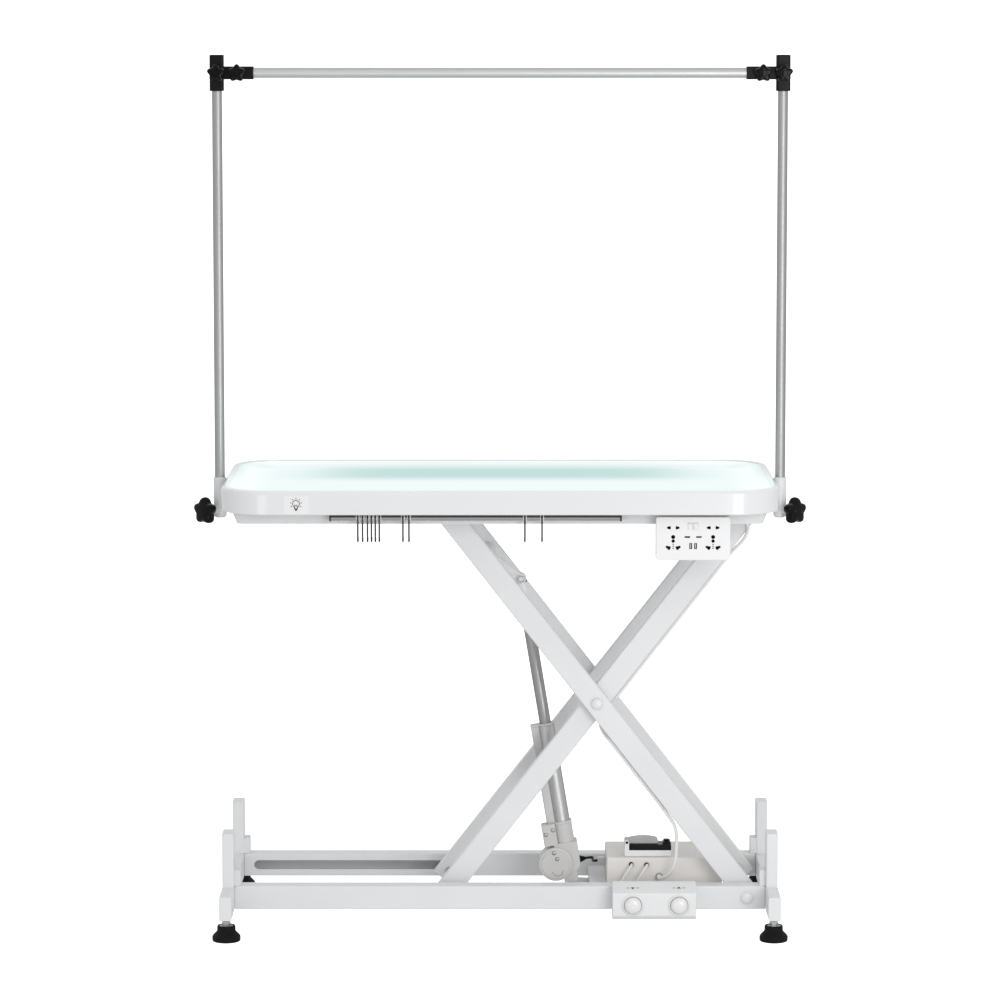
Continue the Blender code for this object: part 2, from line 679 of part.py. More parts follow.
def make_arm_a_cross(body):
    """The tube between the outer arms, with two slotted ears for the actuator's head pin."""
    half = ARM_A_IN - GAP
    centre = on_arm_a(CROSS_TUBE_ALONG, 0.0)
    tube = prism(circle(CROSS_TUBE_RADIUS, centre, TUBE_FACETS), "Y", -half, half)
    cross = add_piece("arm_a_cross_tube", tube, "white_paint", body)
    slot_end = on_arm_a(*head_slot_end())
    rim = HEAD_PIN_RADIUS * 3
    plate = hull(circle(rim, HEAD), circle(rim, slot_end), circle(CROSS_TUBE_RADIUS * 0.9, centre))
    window = slot(HEAD, slot_end, HEAD_PIN_RADIUS + 4 * RUNNING_GAP)
    for side in (-1, 1):
        near = side * (ROD_RADIUS + 4 * RUNNING_GAP)
        far = near + side * EAR_THICKNESS
        join(cross, prism(plate, "Y", *sorted((near, far))))
    reach = ROD_RADIUS + 2 * EAR_THICKNESS
    cut(cross, prism(window, "Y", -reach, reach))


def make_base_axle(body):
    """The floor axle through both inner arms, with a roller on each end."""
    place = on_arm_b(0.0, 0.0)
    reach = axle_end()
    add_piece("base_axle", prism(circle(AXLE_RADIUS, place), "Y", -reach, reach), "steel", body)


def make_roller(name, place, side, radius, body):
    """A roller on its axle."""
    near = RAIL_INNER + ROLLER_SIDE_GAP
    far = near + ROLLER_WIDTH
    bore = AXLE_RADIUS + GAP
    round_edge = ROLLER_WIDTH / 12
    profile = (
        (bore, near),
        (radius - round_edge, near),
        (radius, near + round_edge),
        (radius, far - round_edge),
        (radius - round_edge, far),
        (bore, far),
    )
    add_piece(name, turned(profile, flat(place), (0, side, 0), TUBE_FACETS, True), "grey_plastic", body)


# Actuator
def make_actuator_tube(body):
    """The outer tube, bored for the rod, with a flat switch channel down its left side and a collar."""
    bore = ROD_RADIUS + RUNNING_GAP
    collar = TUBE_RADIUS + 2 * RUNNING_GAP
    profile = (
        (TUBE_RADIUS, TUBE_BOTTOM),
        (TUBE_RADIUS, TUBE_TOP - TUBE_COLLAR),
        (collar, TUBE_TOP - TUBE_COLLAR),
        (collar, TUBE_TOP),
        (bore, TUBE_TOP),
        (bore, TUBE_BOTTOM + ROD_END_ROOM),
    )
    axis = flat(ACTUATOR_UP)
    tube = turned(profile, flat(ACTUATOR_PIVOT), axis, TUBE_FACETS)
    tube = add_piece("actuator_tube", tube, "aluminium", body)
    far = TUBE_RADIUS + CHANNEL_WIDTH
    low = HOUSING_TOP + GAP
    high = TUBE_TOP - TUBE_COLLAR - GAP
    near = bore + (TUBE_RADIUS - bore) / 2
    corners = [on_actuator(along, aside) for along, aside in ((low, near), (low, far), (high, far), (high, near))]
    join(tube, prism(corners, "Y", -CHANNEL_HALF_DEPTH, CHANNEL_HALF_DEPTH))


def make_gear_housing(body):
    """The cast housing at the tube's foot: its eye, its round gear cover and the motor's seat."""
    front, back = -GEAR_FRONT, GEAR_BACK
    eye = circle(FOOT_EYE_RADIUS, ACTUATOR_FOOT)
    gear = circle(GEAR_RADIUS, GEAR_CENTRE, TUBE_FACETS)
    shoulder = [
        on_actuator(HOUSING_TOP, HOUSING_HALF_WIDTH),
        on_actuator(HOUSING_TOP, -HOUSING_HALF_WIDTH),
        on_actuator(GEAR_ALONG, -HOUSING_HALF_WIDTH),
    ]
    shell = hull(circle(HOUSING_HALF_WIDTH, on_actuator(GEAR_ALONG)), shoulder)
    housing = add_piece("gear_housing", prism(shell, "Y", -back, back), "cast_grey", body)
    join(housing, prism(gear, "Y", front, back - EDGE_ROUND))
    join(housing, prism(hull(eye, circle(FOOT_EYE_RADIUS, on_actuator(GEAR_ALONG))), "Y", -back * 0.9, back * 0.9))
    ring = circle(GEAR_HUB_RADIUS, GEAR_CENTRE, TUBE_FACETS)
    join(housing, prism(ring, "Y", front - EDGE_ROUND, front + EDGE_ROUND))
    pin_bore = circle(HEAD_PIN_RADIUS + GAP, ACTUATOR_FOOT)
    cut(housing, prism(pin_bore, "Y", -2 * back, 2 * back))
    seat = ((TUBE_RADIUS + GAP, TUBE_BOTTOM - GAP), (TUBE_RADIUS + GAP, HOUSING_TOP + TUBE_RADIUS))
    cut(housing, turned(seat, flat(ACTUATOR_PIVOT), flat(ACTUATOR_UP), TUBE_FACETS))


def make_motor(body):
    """The motor behind the gear cover, along +Y."""
    start = GEAR_BACK + GAP
    profile = (
        (MOTOR_RADIUS * 0.8, start),
        (MOTOR_RADIUS, start + EDGE_ROUND),
        (MOTOR_RADIUS, start + MOTOR_LENGTH - EDGE_ROUND * 2),
        (MOTOR_RADIUS - EDGE_ROUND, start + MOTOR_LENGTH),
    )
    motor = turned(profile, flat(GEAR_CENTRE), (0, 1, 0), TUBE_FACETS)
    add_piece("motor", motor, "black_plastic", body)


def make_rod(body):
    """The rod that slides out of the tube, with its head and the pin across it."""
    low = TUBE_BOTTOM + ROD_END_ROOM + ACTUATOR_STROKE + GAP
    profile = ((ROD_RADIUS, low), (ROD_RADIUS, ACTUATOR_LONG))
    rod = turned(profile, flat(ACTUATOR_PIVOT), flat(ACTUATOR_UP), TUBE_FACETS)
    rod = add_piece("rod", rod, "steel", body)
    join(rod, prism(circle(HEAD_EYE_RADIUS, HEAD, TUBE_FACETS), "Y", -ROD_RADIUS * 0.92, ROD_RADIUS * 0.92))
    reach = ROD_RADIUS + 4 * RUNNING_GAP + EAR_THICKNESS * 1.3
    join(rod, prism(circle(HEAD_PIN_RADIUS, HEAD), "Y", -reach, reach))


# Control box, breaker and pedal
def make_control_box(body):
    """The control box on its tray, with cable glands on its front."""
    section = rounded_rectangle(BOX_DEPTH, BOX_HEIGHT, BOX_EDGE, (0.0, BOX_BOTTOM + BOX_HEIGHT / 2))
    box = prism(section, "X", BOX_LEFT, BOX_LEFT + BOX_LENGTH)
    box = add_piece("control_box", box, "beige_plastic", body)
    soften(box, EDGE_ROUND)
    for x, z in (POWER_GLAND, *PEDAL_GLANDS):
        gland = circle(GLAND_RADIUS, (x, z), 12)
        join(box, prism(gland, "Y", BOX_FRONT - GLAND_LENGTH, BOX_FRONT + BOX_EDGE))


def breaker_hinge():
    """X and Z of the breaker lid's hinge."""
    z = BOX_TOP + GAP + BREAKER_BASE_HEIGHT + BREAKER_BODY_HEIGHT + BREAKER_HINGE_RADIUS
    return Vector((BREAKER_X[0] + BREAKER_HINGE_RADIUS, z))


def make_breaker(body):
    """The breaker on the control box: a base, a dark body, a hinge ear and a latch knob."""
    left, right = BREAKER_X
    front, back = BREAKER_Y
    low = BOX_TOP + GAP
    mid = low + BREAKER_BASE_HEIGHT
    top = mid + BREAKER_BODY_HEIGHT
    middle = ((left + right) / 2, (front + back) / 2)
    base = rounded_rectangle(right - left, back - front, EDGE_ROUND, middle)
    breaker = add_piece("breaker_body", prism(base, "Z", low, mid), "black_plastic", body)
    inset = 4 * BREAKER_HINGE_RADIUS / 2
    body_outline = rounded_rectangle(
        right - left - inset, back - front - EDGE_ROUND, EDGE_ROUND, (middle[0] + inset / 2, middle[1])
    )
    join(breaker, prism(body_outline, "Z", mid - EDGE_ROUND, top))
    hinge = breaker_hinge()
    ear = hull(
        circle(BREAKER_HINGE_RADIUS, hinge, 12),
        circle(BREAKER_HINGE_RADIUS, (hinge.x, low + BREAKER_HINGE_RADIUS), 12),
    )
    ear_width = (back - front) / 5
    for near in (front, back - ear_width):
        join(breaker, prism(ear, "Y", near, near + ear_width))
    join(breaker, prism(circle(BREAKER_PIN_RADIUS, hinge, 12), "Y", front + EDGE_ROUND, back - EDGE_ROUND))
    knob_x = left + 2 * BREAKER_HINGE_RADIUS + LID_LENGTH + 4 * BREAKER_HINGE_RADIUS / 2
    knob = circle(BREAKER_HINGE_RADIUS * 1.5, (knob_x, middle[1]), 16)
    join(breaker, prism(knob, "Z", top - EDGE_ROUND, top + LID_HEIGHT * 0.6))


def make_breaker_lid(body):
    """The arched lid over the breaker, on a barrel round its hinge pin."""
    hinge = breaker_hinge()
    front, back = BREAKER_Y
    ear_width = (back - front) / 5
    under = hinge.y - BREAKER_HINGE_RADIUS + 2 * RUNNING_GAP
    start = hinge.x + BREAKER_HINGE_RADIUS
    points = [(hinge.x, under)]
    points.append((start + LID_LENGTH, under))
    for k in range(7):
        share = k / 6
        rise = LID_HEIGHT * (0.72 + 0.28 * math.sin(math.pi * share))
        points.append((start + LID_LENGTH * (1 - share), under + rise))
    points.append((hinge.x, hinge.y + BREAKER_HINGE_RADIUS))
    for k in range(1, 6):
        turn = math.pi / 2 + math.pi * k / 6
        points.append((hinge.x + BREAKER_HINGE_RADIUS * math.cos(turn), hinge.y + BREAKER_HINGE_RADIUS * math.sin(turn)))
    faces = front + ear_width + RUNNING_GAP, back - ear_width - RUNNING_GAP
    lid = add_piece("breaker_lid", prism(points, "Y", *faces), "grey_plastic", body)
    cut(lid, prism(circle(BREAKER_PIN_RADIUS + GAP, hinge, 12), "Y", front, back))


def make_pedal_box(body):
    """The foot control on the front rail, with a sloped top and a round seat for each button."""
    outline = (
        (PEDAL_BACK, PEDAL_BOTTOM),
        (PEDAL_BACK, PEDAL_TOP),
        (PEDAL_BACK - PEDAL_SHELF, PEDAL_TOP),
        (PEDAL_FRONT, PEDAL_FRONT_TOP),
        (PEDAL_FRONT, PEDAL_BOTTOM + PEDAL_CHAMFER),
        (PEDAL_FRONT + PEDAL_CHAMFER, PEDAL_BOTTOM),
    )
    box = add_piece("pedal_box", prism(outline, "X", *PEDAL_X), "white_plastic", body)
    soften(box, EDGE_ROUND / 2)
    for x in BUTTON_X:
        place = (x, 0.0, BUTTON_Z)
        bezel = (
            (BEZEL_RADIUS, -PEDAL_FRONT - EDGE_ROUND),
            (BEZEL_RADIUS, -PEDAL_FRONT + BEZEL_PROUD * 0.6),
            (BEZEL_RADIUS - BEZEL_PROUD * 0.4, -PEDAL_FRONT + BEZEL_PROUD),
        )
        join(box, turned(bezel, place, (0, -1, 0), TUBE_FACETS))
        depth = -PEDAL_FRONT - BUTTON_SEAT - BUTTON_TRAVEL
        pocket = ((BUTTON_RADIUS + RUNNING_GAP, depth), (BUTTON_RADIUS + RUNNING_GAP, -PEDAL_FRONT + 2 * BEZEL_PROUD))
        cut(box, turned(pocket, place, (0, -1, 0), TUBE_FACETS))
    for x, _ in PEDAL_GLANDS:
        hole = circle(SIGNAL_RADIUS + RUNNING_GAP, (pedal_cable_x(x), CABLE_CROSSING_Z))
        cut(box, prism(hole, "Y", PEDAL_BACK - BUTTON_SEAT, PEDAL_BACK + BUTTON_SEAT))


def make_button(name, x, body):
    """A domed push button in the pedal box."""
    face = -PEDAL_FRONT
    profile = [(BUTTON_RADIUS, face - BUTTON_SEAT + RUNNING_GAP), (BUTTON_RADIUS, face + BEZEL_PROUD)]
    dome = BUTTON_PROUD - BEZEL_PROUD
    for k in range(1, 5):
        turn = math.pi / 2 * k / 5
        profile.append((BUTTON_RADIUS * math.cos(turn), face + BEZEL_PROUD + dome * math.sin(turn)))
    add_piece(name, turned(profile, (x, 0.0, BUTTON_Z), (0, -1, 0), TUBE_FACETS), "white_plastic", body)


# Table top
def rim_loop(inset, z):
    """The table's outline, drawn in by an inset, at one height."""
    outline = rounded_rectangle(
        TABLE_LENGTH - 2 * inset, TABLE_DEPTH - 2 * inset, TABLE_CORNER - inset, steps=RIM_STEPS
    )
    return placed(outline, "Z", z)


def make_table_rim(body):
    """The moulded rim: an outer wall, a raised lip, a slope down to the panel's ledge and a rib on the deck."""
    lip = RIM_LIP / 2
    profile = (
        (0.0, RIM_BOTTOM),
        (0.0, RIM_TOP - lip),
        (lip * 0.3, RIM_TOP - lip * 0.3),
        (lip, RIM_TOP),
        (RIM_LIP, RIM_TOP),
        (RIM_SLOPE_END, RIM_TOP - RIM_RECESS),
        (RIM_SLOPE_END, LEDGE_Z),
        (RIM_INNER, LEDGE_Z),
        (RIM_INNER, DECK_TOP + GAP),
        (RIM_INNER - RIM_RIB, DECK_TOP + GAP),
        (RIM_INNER - RIM_RIB, LEDGE_Z - RIM_WALL),
        (RIM_SLOPE_END - RIM_WALL, LEDGE_Z - RIM_WALL),
        (RIM_LIP, RIM_TOP - 2 * RIM_WALL),
        (RIM_WALL, RIM_TOP - lip - RIM_WALL),
        (RIM_WALL, RIM_BOTTOM),
    )
    rim = loft([rim_loop(inset, z) for inset, z in profile], closed=True)
    add_piece("table_rim", rim, "rim_plastic", body)


def make_light_panel(body):
    """The lit panel on the rim's ledge."""
    low = LEDGE_Z + GAP
    high = low + PANEL_THICKNESS
    edge = PANEL_THICKNESS / 4
    inset = RIM_SLOPE_END + GAP
    loops = [rim_loop(inset, low), rim_loop(inset, high - edge), rim_loop(inset + edge, high)]
    add_piece("light_panel", loft(loops), "lit_panel", body)


def make_led_strip(body):
    """The strip of lamps that runs round inside the rim, under the panel."""
    outer = RIM_INNER + GAP
    inner = outer + LED_THICKNESS
    low = DECK_TOP + GAP
    high = low + LED_HEIGHT
    corners = ((outer, low), (outer, high), (inner, high), (inner, low))
    add_piece("led_strip", loft([rim_loop(*c) for c in corners], closed=True), "light_strip", body)


def make_under_pan(body):
    """The pan under the top: a deck plate with a skirt whose ends lean in."""
    def level(length, depth, z):
        return placed(rounded_rectangle(length, depth, PAN_CORNER), "Z", z)

    wall = 2 * PAN_WALL
    loops = [
        level(PAN_LENGTH, PAN_DEPTH, DECK_TOP),
        level(PAN_LENGTH, PAN_DEPTH, RIM_BOTTOM),
        level(PAN_BOTTOM_LENGTH, PAN_DEPTH, PAN_BOTTOM),
        level(PAN_BOTTOM_LENGTH - wall, PAN_DEPTH - wall, PAN_BOTTOM),
        level(PAN_LENGTH - wall, PAN_DEPTH - wall, RIM_BOTTOM),
        level(PAN_LENGTH - wall, PAN_DEPTH - wall, DECK_UNDER),
    ]
    add_piece("under_pan", loft(loops), "white_paint", body)


def make_top_track(side, body):
    """A track under the deck: a chamber for the roller, a hollow flange, and arm B's hinge pin."""
    name = "top_track_front" if side < 0 else "top_track_rear"
    half = PAN_BOTTOM_LENGTH / 2 - 2 * PAN_WALL
    chamber = TRACK_ROLLER_RADIUS + RUNNING_GAP
    low = TOP_PIVOT_Z - chamber - TRACK_WALL
    high = DECK_UNDER - GAP
    y_mid = side * (RAIL_INNER + TRACK_DEPTH / 2)
    section = rounded_rectangle(TRACK_DEPTH, high - low, TRACK_WALL / 2, (y_mid, (low + high) / 2), 1)
    track = add_piece(name, prism(section, "X", -half, half), "white_paint", body)
    width = TRACK_DEPTH - 2 * TRACK_WALL
    shelf = TOP_PIVOT_Z + chamber + TRACK_WALL
    roof = high - TRACK_WALL
    for bottom, top in ((TOP_PIVOT_Z - chamber, TOP_PIVOT_Z + chamber), (shelf, roof)):
        room = rounded_rectangle(width, top - bottom, TRACK_WALL / 3, (y_mid, (bottom + top) / 2), 1)
        cut(track, prism(room, "X", -half - TRACK_WALL, half + TRACK_WALL))
    ends = (LOW_ROLLER_X - SLOT_MARGIN / 2, TOP_PIVOT_Z), (ROLLER_X + SLOT_MARGIN, TOP_PIVOT_Z)
    wall = sorted((side * (RAIL_INNER - TRACK_WALL), side * (RAIL_INNER + 2 * TRACK_WALL)))
    cut(track, prism(slot(*ends, TRACK_SLOT_HEIGHT / 2), "Y", *wall))
    pin = (
        (PIN_RADIUS, ARM_B_IN - ARM_EDGE),
        (PIN_RADIUS, ARM_B_OUT + GAP),
        (PIN_CAP_RADIUS, ARM_B_OUT + GAP),
        (PIN_CAP_RADIUS, RAIL_INNER + TRACK_WALL / 2),
    )
    join(track, turned(pin, (FIXED_PIVOT_X, 0.0, TOP_PIVOT_Z), (0, side, 0)))


def make_hook_rail(body):
    """The round rail under the front edge, on stand-offs from the pan."""
    place = (HOOK_RAIL_Y, HOOK_RAIL_Z)
    rail = add_piece("hook_rail", prism(circle(HOOK_RAIL_RADIUS, place, 16), "X", *HOOK_RAIL_X), "steel", body)
    left, right = HOOK_RAIL_X
    for x in (left + STANDOFF_INSET, (left + right) / 2, right - STANDOFF_INSET):
        post = (
            (2 * STANDOFF_RADIUS, -PAN_FRONT + GAP),
            (2 * STANDOFF_RADIUS, -PAN_FRONT + GAP + STANDOFF_RADIUS / 2),
            (STANDOFF_RADIUS, -PAN_FRONT + GAP + STANDOFF_RADIUS / 2),
            (STANDOFF_RADIUS, -HOOK_RAIL_Y),
        )
        join(rail, turned(post, (x, 0.0, HOOK_RAIL_Z), (0, -1, 0), 12))


def hook_route(x):
    """Middle line of an S-hook: over the rail, down its front, and up again in a small curl."""
    radius = HOOK_RAIL_RADIUS + HOOK_WIRE + GAP
    points = []
    for k in range(9):
        turn = math.radians(-30 + 210 * k / 8)
        points.append((x, HOOK_RAIL_Y + radius * math.cos(turn), HOOK_RAIL_Z + radius * math.sin(turn)))
    foot = HOOK_RAIL_Z - HOOK_LENGTH
    front = HOOK_RAIL_Y - radius
    for k in range(8):
        turn = math.radians(180 + 200 * k / 7)
        middle = front + HOOK_CURL
        points.append((x, middle + HOOK_CURL * math.cos(turn), foot + HOOK_CURL * math.sin(turn)))
    return points


def make_hook(name, x, body):
    """A wire hook that slides along the hook rail."""
    add_tube(name, hook_route(x), HOOK_WIRE, "steel", body, 1)


def make_socket_box(body):
    """The outlet box under the front edge: two outlets, four charging slots and a pocket for each rocker."""
    z_mid = SOCKET_TOP - SOCKET_HEIGHT / 2
    width = SOCKET_X[1] - SOCKET_X[0]
    outline = rounded_rectangle(width, SOCKET_HEIGHT, SOCKET_EDGE, (SOCKET_MID, z_mid))
    box = add_piece("socket_box", prism(outline, "Y", SOCKET_FRONT, SOCKET_BACK), "white_plastic", body)
    soften(box, SOCKET_EDGE / 4)
    for x in rocker_places():
        pocket = rounded_rectangle(*[s + 2 * RUNNING_GAP for s in ROCKER_SIZE], RUNNING_GAP, (x, ROCKER_Z), 1)
        cut(box, prism(pocket, "Y", SOCKET_FRONT - ROCKER_DEPTH, SOCKET_FRONT + ROCKER_DEPTH))
    for outline in outlet_slots():
        cut(box, prism(outline, "Y", SOCKET_FRONT - OUTLET_DEPTH, SOCKET_FRONT + OUTLET_DEPTH))


def rocker_places():
    """X of each rocker's middle."""
    return SOCKET_MID - ROCKER_SPACING / 2, SOCKET_MID + ROCKER_SPACING / 2


def outlet_slots():
    """Outlines of the outlets' and chargers' slots on the box's face."""
    low = SOCKET_TOP - SOCKET_HEIGHT * 0.62
    shapes = []
    for side in (-1, 1):
        x = SOCKET_MID + side * 0.046
        for pin in (-1, 1):
            shapes.append(rounded_rectangle(0.010, 0.006, 0.002, (x + pin * 0.012, SOCKET_TOP - 0.020), 1))
            shapes.append(rounded_rectangle(0.010, 0.007, 0.002, (x + pin * 0.012, low - 0.010), 1))
        shapes.append(rounded_rectangle(0.008, 0.018, 0.002, (x, low + 0.008), 1))
        shapes.append(rounded_rectangle(0.013, 0.0045, 0.001, (SOCKET_MID + side * 0.013, low + 0.014), 1))
        shapes.append(rounded_rectangle(0.0055, 0.014, 0.001, (SOCKET_MID + side * 0.006, low - 0.006), 1))
    return shapes


def make_rocker(name, x, body):
    """A rocker switch: a shallow valley across its face, on a pivot at its middle."""
    width, height = (s - 2 * RUNNING_GAP for s in ROCKER_SIZE)
    face = SOCKET_FRONT - ROCKER_PROUD
    half = height / 2
    back = SOCKET_FRONT + ROCKER_DEPTH * 0.8
    profile = (
        (face, ROCKER_Z + half * 0.88),
        (SOCKET_FRONT - ROCKER_PROUD * 0.45, ROCKER_Z),
        (face, ROCKER_Z - half * 0.88),
        (SOCKET_FRONT, ROCKER_Z - half * 0.86),
        (back, ROCKER_Z - half * 0.45),
        (back, ROCKER_Z + half * 0.45),
        (SOCKET_FRONT, ROCKER_Z + half * 0.86),
    )
    add_piece(name, prism(profile, "X", x - width / 2, x + width / 2), "white_plastic", body)


# Overhead bar
def make_clamp(side, body):
    """A pole clamp at the table's end: a sleeve, a bar back to the pan and a boss for the knob's screw."""
    name = "clamp_left" if side < 0 else "clamp_right"
    x = side * POLE_X
    sleeve = turned(((CLAMP_RADIUS, CLAMP_BOTTOM), (CLAMP_RADIUS, CLAMP_TOP)), (x, 0, 0), (0, 0, 1), TUBE_FACETS)
    clamp = add_piece(name, sleeve, "white_paint", body)
    top = RIM_BOTTOM - GAP
    low = top - CLAMP_BAR
    lean = (PAN_LENGTH - PAN_BOTTOM_LENGTH) / 2 / PAN_SKIRT
    root = PAN_LENGTH / 2 + 2 * GAP
    outline = (
        (side * (root - lean * GAP), top),
        (side * (root - lean * (RIM_BOTTOM - low)), low),
        (x, low),
        (x, top),
    )
    join(clamp, prism(outline, "Y", -CLAMP_RADIUS * 0.9, CLAMP_RADIUS * 0.9))
    direction = clamp_knob_direction(side)
    boss = ((BOSS_RADIUS, POLE_RADIUS + CORNER_WALL / 2), (BOSS_RADIUS, CLAMP_RADIUS + BOSS_LENGTH))
    join(clamp, turned(boss, (x, 0.0, CLAMP_KNOB_Z), direction))
    bore = circle(POLE_RADIUS + RUNNING_GAP, (x, 0.0), TUBE_FACETS)
    cut(clamp, prism(bore, "Z", CLAMP_BOTTOM - BOSS_RADIUS, CLAMP_TOP + BOSS_RADIUS))
    screw = ((SCREW_RADIUS + GAP, 0.0), (SCREW_RADIUS + GAP, CLAMP_RADIUS + 2 * BOSS_LENGTH))
    cut(clamp, turned(screw, (x, 0.0, CLAMP_KNOB_Z), direction))


def clamp_knob_direction(side):
    """The clamp knobs point outward and to the front alike."""
    return Vector((side, -1.0, 0.0)).normalized()


def make_pole(side, body):
    """A pole: a tube that is plugged at its top."""
    name = "pole_left" if side < 0 else "pole_right"
    low = CLAMP_BOTTOM - POLE_TAIL
    inner = POLE_RADIUS - POLE_WALL
    profile = (
        (inner, POLE_TOP - 2 * POLE_WALL),
        (inner, low),
        (POLE_RADIUS, low),
        (POLE_RADIUS, POLE_TOP - POLE_WALL),
        (POLE_RADIUS - POLE_WALL / 2, POLE_TOP),
    )
    add_piece(name, turned(profile, (side * POLE_X, 0, 0), (0, 0, 1), TUBE_FACETS), "aluminium", body)


def make_cross_bar(body):
    """The bar between the two corner joints."""
    half = bar_half_length()
    inner = POLE_RADIUS - POLE_WALL
    profile = ((POLE_RADIUS, -half), (POLE_RADIUS, half), (inner, half), (inner, -half))
    bar = turned(profile, (0, 0, BAR_Z), (1, 0, 0), TUBE_FACETS, True)
    add_piece("cross_bar", bar, "aluminium", body)


def bar_half_length():
    """The bar stops short of the poles' bores."""
    return POLE_X - POLE_RADIUS - CORNER_WALL


def make_corner(side, body):
    """A corner joint: an upright sleeve for the pole, a level one for the bar, and a boss for each knob."""
    name = "corner_left" if side < 0 else "corner_right"
    x = side * POLE_X
    upright = rounded_rectangle(CORNER_WIDTH, CORNER_WIDTH, CORNER_WALL, (x, 0.0))
    upright = prism(upright, "Z", CORNER_BOTTOM, CORNER_BOTTOM + CORNER_HEIGHT)
    corner = add_piece(name, upright, "black_plastic", body)
    level = rounded_rectangle(CORNER_ARM_WIDTH, CORNER_ARM_WIDTH, CORNER_WALL, (0.0, BAR_Z))
    join(corner, prism(level, "X", *sorted((side * CORNER_ARM_END, x))))
    for knob_x, half in corner_knobs(side):
        boss = ((BOSS_RADIUS, half - CORNER_WALL), (BOSS_RADIUS, half + BOSS_LENGTH))
        join(corner, turned(boss, (knob_x, 0.0, BAR_Z), (0, -1, 0)))
    pole = circle(POLE_RADIUS + RUNNING_GAP, (x, 0.0), TUBE_FACETS)
    cut(corner, prism(pole, "Z", CORNER_BOTTOM - CORNER_WALL, CORNER_BOTTOM + CORNER_HEIGHT + CORNER_WALL))
    bar = circle(POLE_RADIUS + GAP, (0.0, BAR_Z), TUBE_FACETS)
    ends = side * (CORNER_ARM_END - CORNER_WALL), side * (bar_half_length() + GAP)
    cut(corner, prism(bar, "X", *sorted(ends)))
    for knob_x, half in corner_knobs(side):
        screw = ((SCREW_RADIUS + GAP, POLE_RADIUS / 2), (SCREW_RADIUS + GAP, half + 2 * BOSS_LENGTH))
        cut(corner, turned(screw, (knob_x, 0.0, BAR_Z), (0, -1, 0)))


def corner_knobs(side):
    """X of each knob on a corner joint, and how far its sleeve reaches to the front."""
    arm_knob = side * (CORNER_ARM_END + ARM_KNOB_INSET)
    return (side * POLE_X, CORNER_WIDTH / 2), (arm_knob, CORNER_ARM_WIDTH / 2)


def make_knob(name, place, direction, seat, radius, thickness, body):
    """A star knob with its screw: round at the screw and hub, lobed at its grip."""
    axis = Vector(direction).normalized()
    across = Vector((0.0, 0.0, 1.0))
    other = axis.cross(across)
    hub = seat + GAP
    grip = hub + KNOB_HUB_LENGTH
    top = grip + thickness
    profile = (
        (SCREW_RADIUS, POLE_RADIUS + 2 * RUNNING_GAP, 0.0),
        (SCREW_RADIUS, hub, 0.0),
        (KNOB_HUB_RADIUS, hub, 0.0),
        (KNOB_HUB_RADIUS, grip, 0.0),
        (radius * 0.88, grip, 1.0),
        (radius, grip + thickness * 0.2, 1.0),
        (radius, grip + thickness * 0.7, 1.0),
        (radius * 0.85, top, 1.0),
        (radius * 0.35, top + thickness * 0.06, 0.0),
    )
    loops = []
    for reach, height, lobed in profile:
        loop = []
        for k in range(KNOB_POINTS):
            turn = 2 * math.pi * k / KNOB_POINTS
            wave = 1.0 - lobed * KNOB_LOBE_DEPTH * (1.0 - math.cos(KNOB_LOBES * turn))
            offset = across * math.cos(turn) + other * math.sin(turn)
            loop.append(Vector(place) + axis * height + offset * reach * wave)
        loops.append(loop)
    add_piece(name, loft(loops), "black_plastic", body)


# Cables
def smooth_route(stops, spacing):
    """Evenly spaced points on a smooth curve through hand-chosen stops."""
    stops = [Vector(s) for s in stops]
    ends = [stops[0] * 2 - stops[1], *stops, stops[-1] * 2 - stops[-2]]
    fine = []
    for before, start, end, after in zip(ends, ends[1:], ends[2:], ends[3:]):
        for k in range(24):
            t = k / 24
            fine.append(
                0.5
                * (
                    2 * start
                    + (end - before) * t
                    + (2 * before - 5 * start + 4 * end - after) * t**2
                    + (3 * start - before - 3 * end + after) * t**3
                )
            )
    fine.append(stops[-1])
    length = sum((b - a).length for a, b in zip(fine, fine[1:]))
    count = max(4, round(length / spacing))
    points = [fine[0]]
    walked, step = 0.0, length / count
    for a, b in zip(fine, fine[1:]):
        walked += (b - a).length
        if walked >= step * len(points) and len(points) < count:
            points.append(b)
    lead_in = stops[0] + (stops[1] - stops[0]).normalized() * spacing * 0.2
    lead_out = stops[-1] + (stops[-2] - stops[-1]).normalized() * spacing * 0.2
    return [points[0], lead_in, *points[1:], lead_out, fine[-1]]


def add_tube(name, points, radius, finish, body, resolution=2):
    """A round tube along a line of points, as a curve with filled ends."""
    data = bpy.data.curves.new(name, "CURVE")
    data.dimensions = "3D"
    data.bevel_depth = radius
    data.bevel_resolution = resolution
    data.use_fill_caps = True
    line = data.splines.new("POLY")
    line.points.add(len(points) - 1)
    for spot, point in zip(line.points, points):
        spot.co = (*point, 1.0)
    data.materials.append(finish_material(finish))
    tube = bpy.data.objects.new(name, data)
    bpy.context.scene.collection.objects.link(tube)
    carry(tube, body)


def make_cable(name, stops, radius, finish, body):
    add_tube(name, smooth_route(stops, 2 * radius * CABLE_POINT_SPACING), radius, finish, body)


CABLE_LANE = -(ARM_A_IN + ARM_THICKNESS / 2)
CABLE_LANE_B = -(ARM_B_IN + ARM_THICKNESS / 2)
CABLE_UNDER = -(ARM_WIDTH / 2 + POWER_RADIUS + GAP)
CABLE_CROSSING_Z = TRAY_TOP + SIGNAL_RADIUS + 2 * EDGE_ROUND
CABLE_CLIP_A = ARM_LENGTH / 2 - CLIP_BELOW_CENTRE
CABLE_CLIP_B = ARM_LENGTH / 2 + CLIP_ABOVE_CENTRE


def pedal_cable_x(gland_x):
    """Where a pedal cable goes through the rail, to the left of its gland."""
    return gland_x + PEDAL_CABLE_SHIFT


